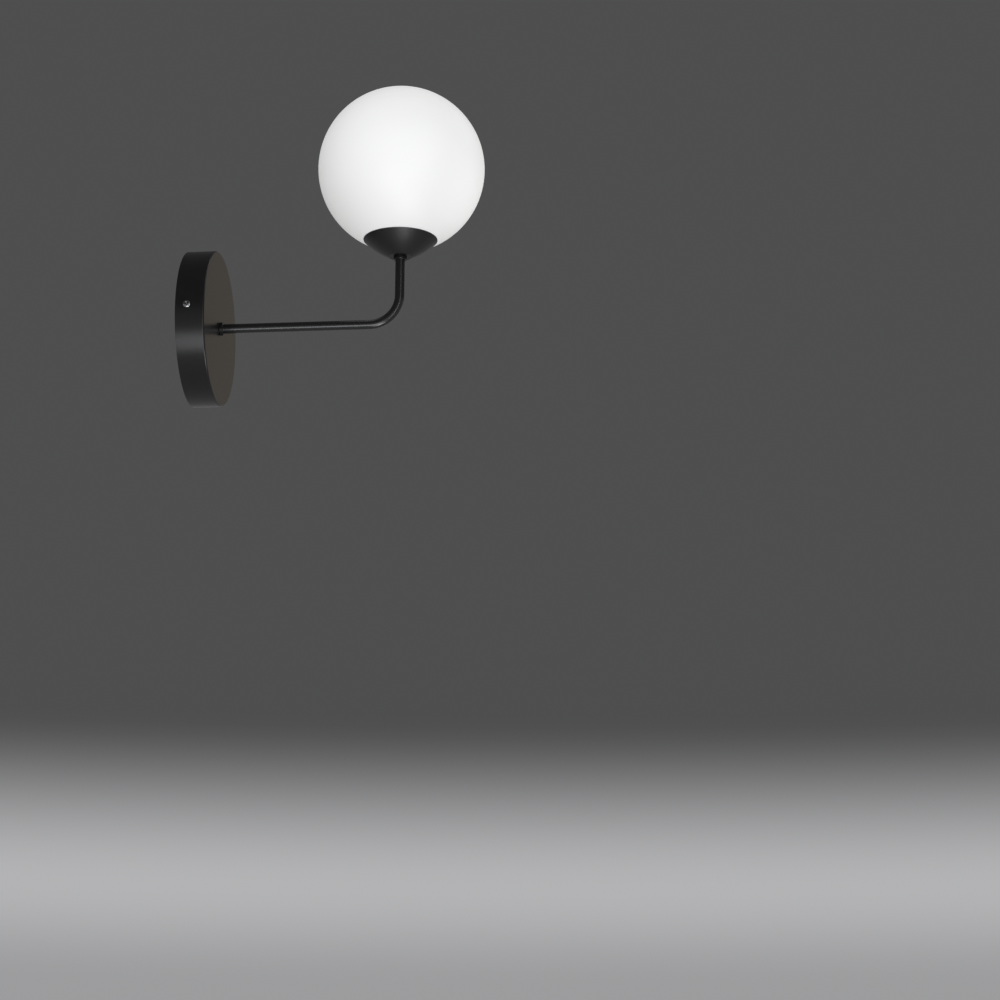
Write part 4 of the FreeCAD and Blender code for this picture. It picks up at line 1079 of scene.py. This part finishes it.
@dataclass
class Connections(Assembly):
    """The terminal block, the earth screw and the three wires."""

    poles: Numbers = (-10 * MM, 0.0, 10 * MM)
    clamp: Screw = Screw(head=1.25 * MM, head_height=0.5 * MM, shank=1.25 * MM * 0.96, length=2.3 * MM,
                         drive=Drive.SLOT, domed=False, pitch=0.45 * MM)
    clamp_spacing: float = 9.0 * MM
    clamp_turns: Numbers = (12.0, 70.0, 140.0, 35.0, 95.0, 160.0)
    fixing: Screw = Screw(head=1.6 * MM, head_height=1.4 * MM, shank=1.25 * MM, length=8.8 * MM,
                          drive=Drive.CROSS, pitch=0.45 * MM)
    fixing_across: float = 5.0 * MM
    fixing_turns: Numbers = (40.0, 5.0)
    earth: Screw = Screw(head=3.7 * MM, head_height=2.4 * MM, shank=2.0 * MM, length=2.9 * MM,
                         drive=Drive.CROSS)
    earth_turn: float = 27.0

    def clamp_screws(self) -> Piece:
        """Build the clamping screws, each left at its own angle.

        Returns:
            The six screws as one piece.
        """
        low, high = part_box("terminal_screws")
        seat, middle = high.x - self.clamp.head_height, (low.z + high.z) / 2
        stands = []
        for number, turn in enumerate(self.clamp_turns):
            side = 1 if number % 2 else -1
            place = Vector((seat, self.poles[number // 2], middle + side * self.clamp_spacing / 2))
            stands.append(frame_on(place, OUTWARD, turn))
        return self.clamp.build_set("block_clamp_screws", stands)

    def fixing_screws(self) -> Piece:
        """Build the screws that hold the block.

        Returns:
            The two screws as one piece.
        """
        low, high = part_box("block_screws")
        seat, middle = high.x - self.fixing.head_height, (low.z + high.z) / 2
        stands = [frame_on(Vector((seat, side * self.fixing_across, middle)), OUTWARD, turn)
                  for side, turn in zip((-1, 1), self.fixing_turns)]
        return self.fixing.build_set("block_fixing_screws", stands)

    def pan_screw(self) -> Piece:
        """Build the earth screw.

        Returns:
            The screw.
        """
        low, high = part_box("earth_screw")
        seat = Vector((high.x - self.earth.head_height, (low.y + high.y) / 2, (low.z + high.z) / 2))
        return self.earth.build("earth_pan_screw", frame_on(seat, OUTWARD, self.earth_turn))

    def build(self) -> None:
        """Make the screws and dress the rest."""
        self.stand_in(self.clamp_screws(), "terminal_screws", SCREW)
        self.stand_in(self.fixing_screws(), "block_screws", SCREW)
        self.stand_in(self.pan_screw(), "earth_screw", BRASS)
        self.dress({"terminal_block": BLOCK, "terminal_inserts": BRASS, "earth_washer": SHEET,
                    "earth_ring": TIN, "live_wire": LIVE, "neutral_wire": NEUTRAL, "earth_wire": EARTH})


# Studio


def aim(azimuth: float, elevation: float) -> Vector:
    """Return the direction from the object to a place in the room, from its angles in degrees."""
    a, e = math.radians(azimuth), math.radians(elevation)
    return Vector((math.sin(a) * math.cos(e), -math.cos(a) * math.cos(e), math.sin(e)))


@dataclass
class Softbox:
    """A large soft lamp that faces the object and isn't seen itself. Its angles are in degrees."""

    name: str
    azimuth: float
    elevation: float
    width: float
    height: float
    radiance: float
    tint: Colour = (1.0, 1.0, 1.0)
    distance: float = 2.6

    def build(self, target: Vector) -> None:
        """Hang the lamp.

        Args:
            target: The point that it faces.
        """
        lamp = bpy.data.lights.new(self.name, "AREA")
        lamp.shape, lamp.size, lamp.size_y = "RECTANGLE", self.width, self.height
        lamp.energy = self.radiance * math.pi * self.width * self.height
        lamp.color = self.tint
        stand = bpy.data.objects.new(self.name, lamp)
        away = aim(self.azimuth, self.elevation)
        stand.location = target + away * self.distance
        stand.rotation_mode = "QUATERNION"
        stand.rotation_quaternion = away.to_track_quat("Z", "Y")
        stand.visible_camera = False
        bpy.context.scene.collection.objects.link(stand)
        log.info("hung %s at azimuth %.0f, elevation %.0f", self.name, self.azimuth, self.elevation)


@dataclass
class Studio:
    """The camera, the soft light, the pale floor and the grey room. Angles are in degrees."""

    camera_place: Direction = (0.49694, -2.16659, -0.74837)
    azimuth: float = 6.2406
    elevation: float = -15.2642
    roll: float = 0.3278
    lens: float = 100.14
    clip: Pair = (0.05, 200.0)
    target: Direction = (0.11, 0.0, 0.07)
    floor_drop: float = 1.70
    floor_side: float = 60.0
    floor_tone: Colour = (0.34, 0.34, 0.34)
    floor_seen: Colour = (0.46, 0.46, 0.46)
    floor_cloud: float = 0.4
    room_stops: tuple[Pair, ...] = ((0.0, 0.28), (0.093, 0.335), (0.127, 0.45), (0.187, 0.077))
    fill: float = 0.22
    sky_fill: float = 0.50
    sky_from: Pair = (-40, 60)
    front_fill: float = 0.62
    front_from: Pair = (10, 0)
    edge_fill: float = 0.70
    edge_from: Pair = (135, 15)

    def hang_lamps(self) -> None:
        """Hang the softboxes."""
        for lamp in (
            Softbox("low_front_box", 0, -37, 1.10, 0.84, 4.1, (0.95, 0.97, 1.0), 2.0),
            Softbox("low_right_box", 36, -14, 0.42, 1.50, 3.5, (0.96, 0.98, 1.0)),
            Softbox("tall_right_box", 35, 14, 0.40, 0.9, 1.8, (0.96, 0.98, 1.0)),
            Softbox("high_right_back_box", 125, 40, 1.2, 0.9, 1.5),
            Softbox("low_near_box", 41, -61, 0.16, 0.16, 8.0, (1.0, 0.99, 0.98), 0.52),
            Softbox("warm_back_wall", 172, 18, 1.8, 1.2, 0.137, (1.0, 0.84, 0.64)),
        ):
            lamp.build(Vector(self.target))

    def set_camera(self) -> None:
        """Set the camera at the photographed angle."""
        camera = bpy.data.cameras.new("photo_camera")
        camera.lens = self.lens
        camera.clip_start, camera.clip_end = self.clip
        stand = bpy.data.objects.new("photo_camera", camera)
        back = aim(self.azimuth, self.elevation)
        side = aim(self.azimuth + 90, 0)
        r = math.radians(self.roll)
        up = back.cross(side)
        right = side * math.cos(r) + up * math.sin(r)
        top = up * math.cos(r) - side * math.sin(r)
        turn = Matrix((right, top, back)).transposed().to_4x4()
        stand.matrix_world = Matrix.Translation(Vector(self.camera_place)) @ turn
        bpy.context.scene.collection.objects.link(stand)
        bpy.context.scene.camera = stand
        log.info("camera at %s", self.camera_place)

    def seen(self, book: NodeBook) -> Sock:
        """Return 1 for rays of the camera and rays that a gloss or a glass sends on."""
        path = book.node("ShaderNodeLightPath")
        return (book.out(path, "Is Camera Ray") + book.out(path, "Is Glossy Ray")
                + book.out(path, "Is Transmission Ray")) > 0.5

    def lay_floor(self) -> None:
        """Lay the pale floor."""
        half = self.floor_side / 2
        corners = ((-half, -half), (half, -half), (half, half), (-half, half))
        floor = new_piece("pale_floor", [Vector((*corner, -self.floor_drop)) for corner in corners],
                          [(0, 1, 2, 3)])
        material = bpy.data.materials.new("pale_floor_paint")
        material.use_nodes = True
        book = NodeBook(material.node_tree)
        tone = book.mixed(self.seen(book), self.floor_tone, self.floor_seen)
        tone = book.mixed(book.noise(self.floor_cloud, 2.0) * 0.1, tone, scaled(self.floor_seen, 0.9))
        book.surface(Base_Color=tone, Roughness=0.8, Specular_IOR_Level=0.2)
        floor.data.materials.append(material)

    def light_room(self) -> None:
        """Give the room its soft light, and the grey that the camera and reflections see."""
        world = bpy.data.worlds.new("grey_room")
        bpy.context.scene.world = world
        world.use_nodes = True
        book = NodeBook(world.node_tree)
        away = book.out(book.node("ShaderNodeTexCoord"), "Generated")
        sky = book.toward(away, tuple(aim(*self.sky_from))).eased(0.1, 1.0)
        front = book.toward(away, tuple(aim(*self.front_from))).eased(0.6, 1.0)
        edge = book.toward(away, tuple(aim(*self.edge_from))).eased(0.6, 1.0)
        soft = sky * self.sky_fill + front * self.front_fill + edge * self.edge_fill + self.fill
        stops = [(place, (grey, grey, grey * 1.02)) for place, grey in self.room_stops]
        ramp = book.node("ShaderNodeValToRGB", {"stops": stops}, {"Fac": book.split(away)[2]})
        ramp.color_ramp.interpolation = "EASE"
        tone = book.mixed(self.seen(book), soft, book.out(ramp))
        room = book.node("ShaderNodeBackground", None, {"Color": tone})
        book.node("ShaderNodeOutputWorld", None, {"Surface": book.out(room)})

    def build(self) -> None:
        """Set up the studio."""
        self.set_camera()
        self.hang_lamps()
        self.lay_floor()
        self.light_room()
        bpy.context.scene.view_settings.view_transform = "Standard"


def main() -> None:
    """Build the studio and the sconce."""
    logging.basicConfig(level=logging.INFO, format="%(message)s")
    fit = ScrewFit()
    Studio().build()
    WallCup().build()
    Arm().build()
    Dish().build()
    OpalBall().build()
    Lampholder().build(fit)
    Bulb().build(fit)
    Connections().build()


if __name__ == "__main__":
    main()
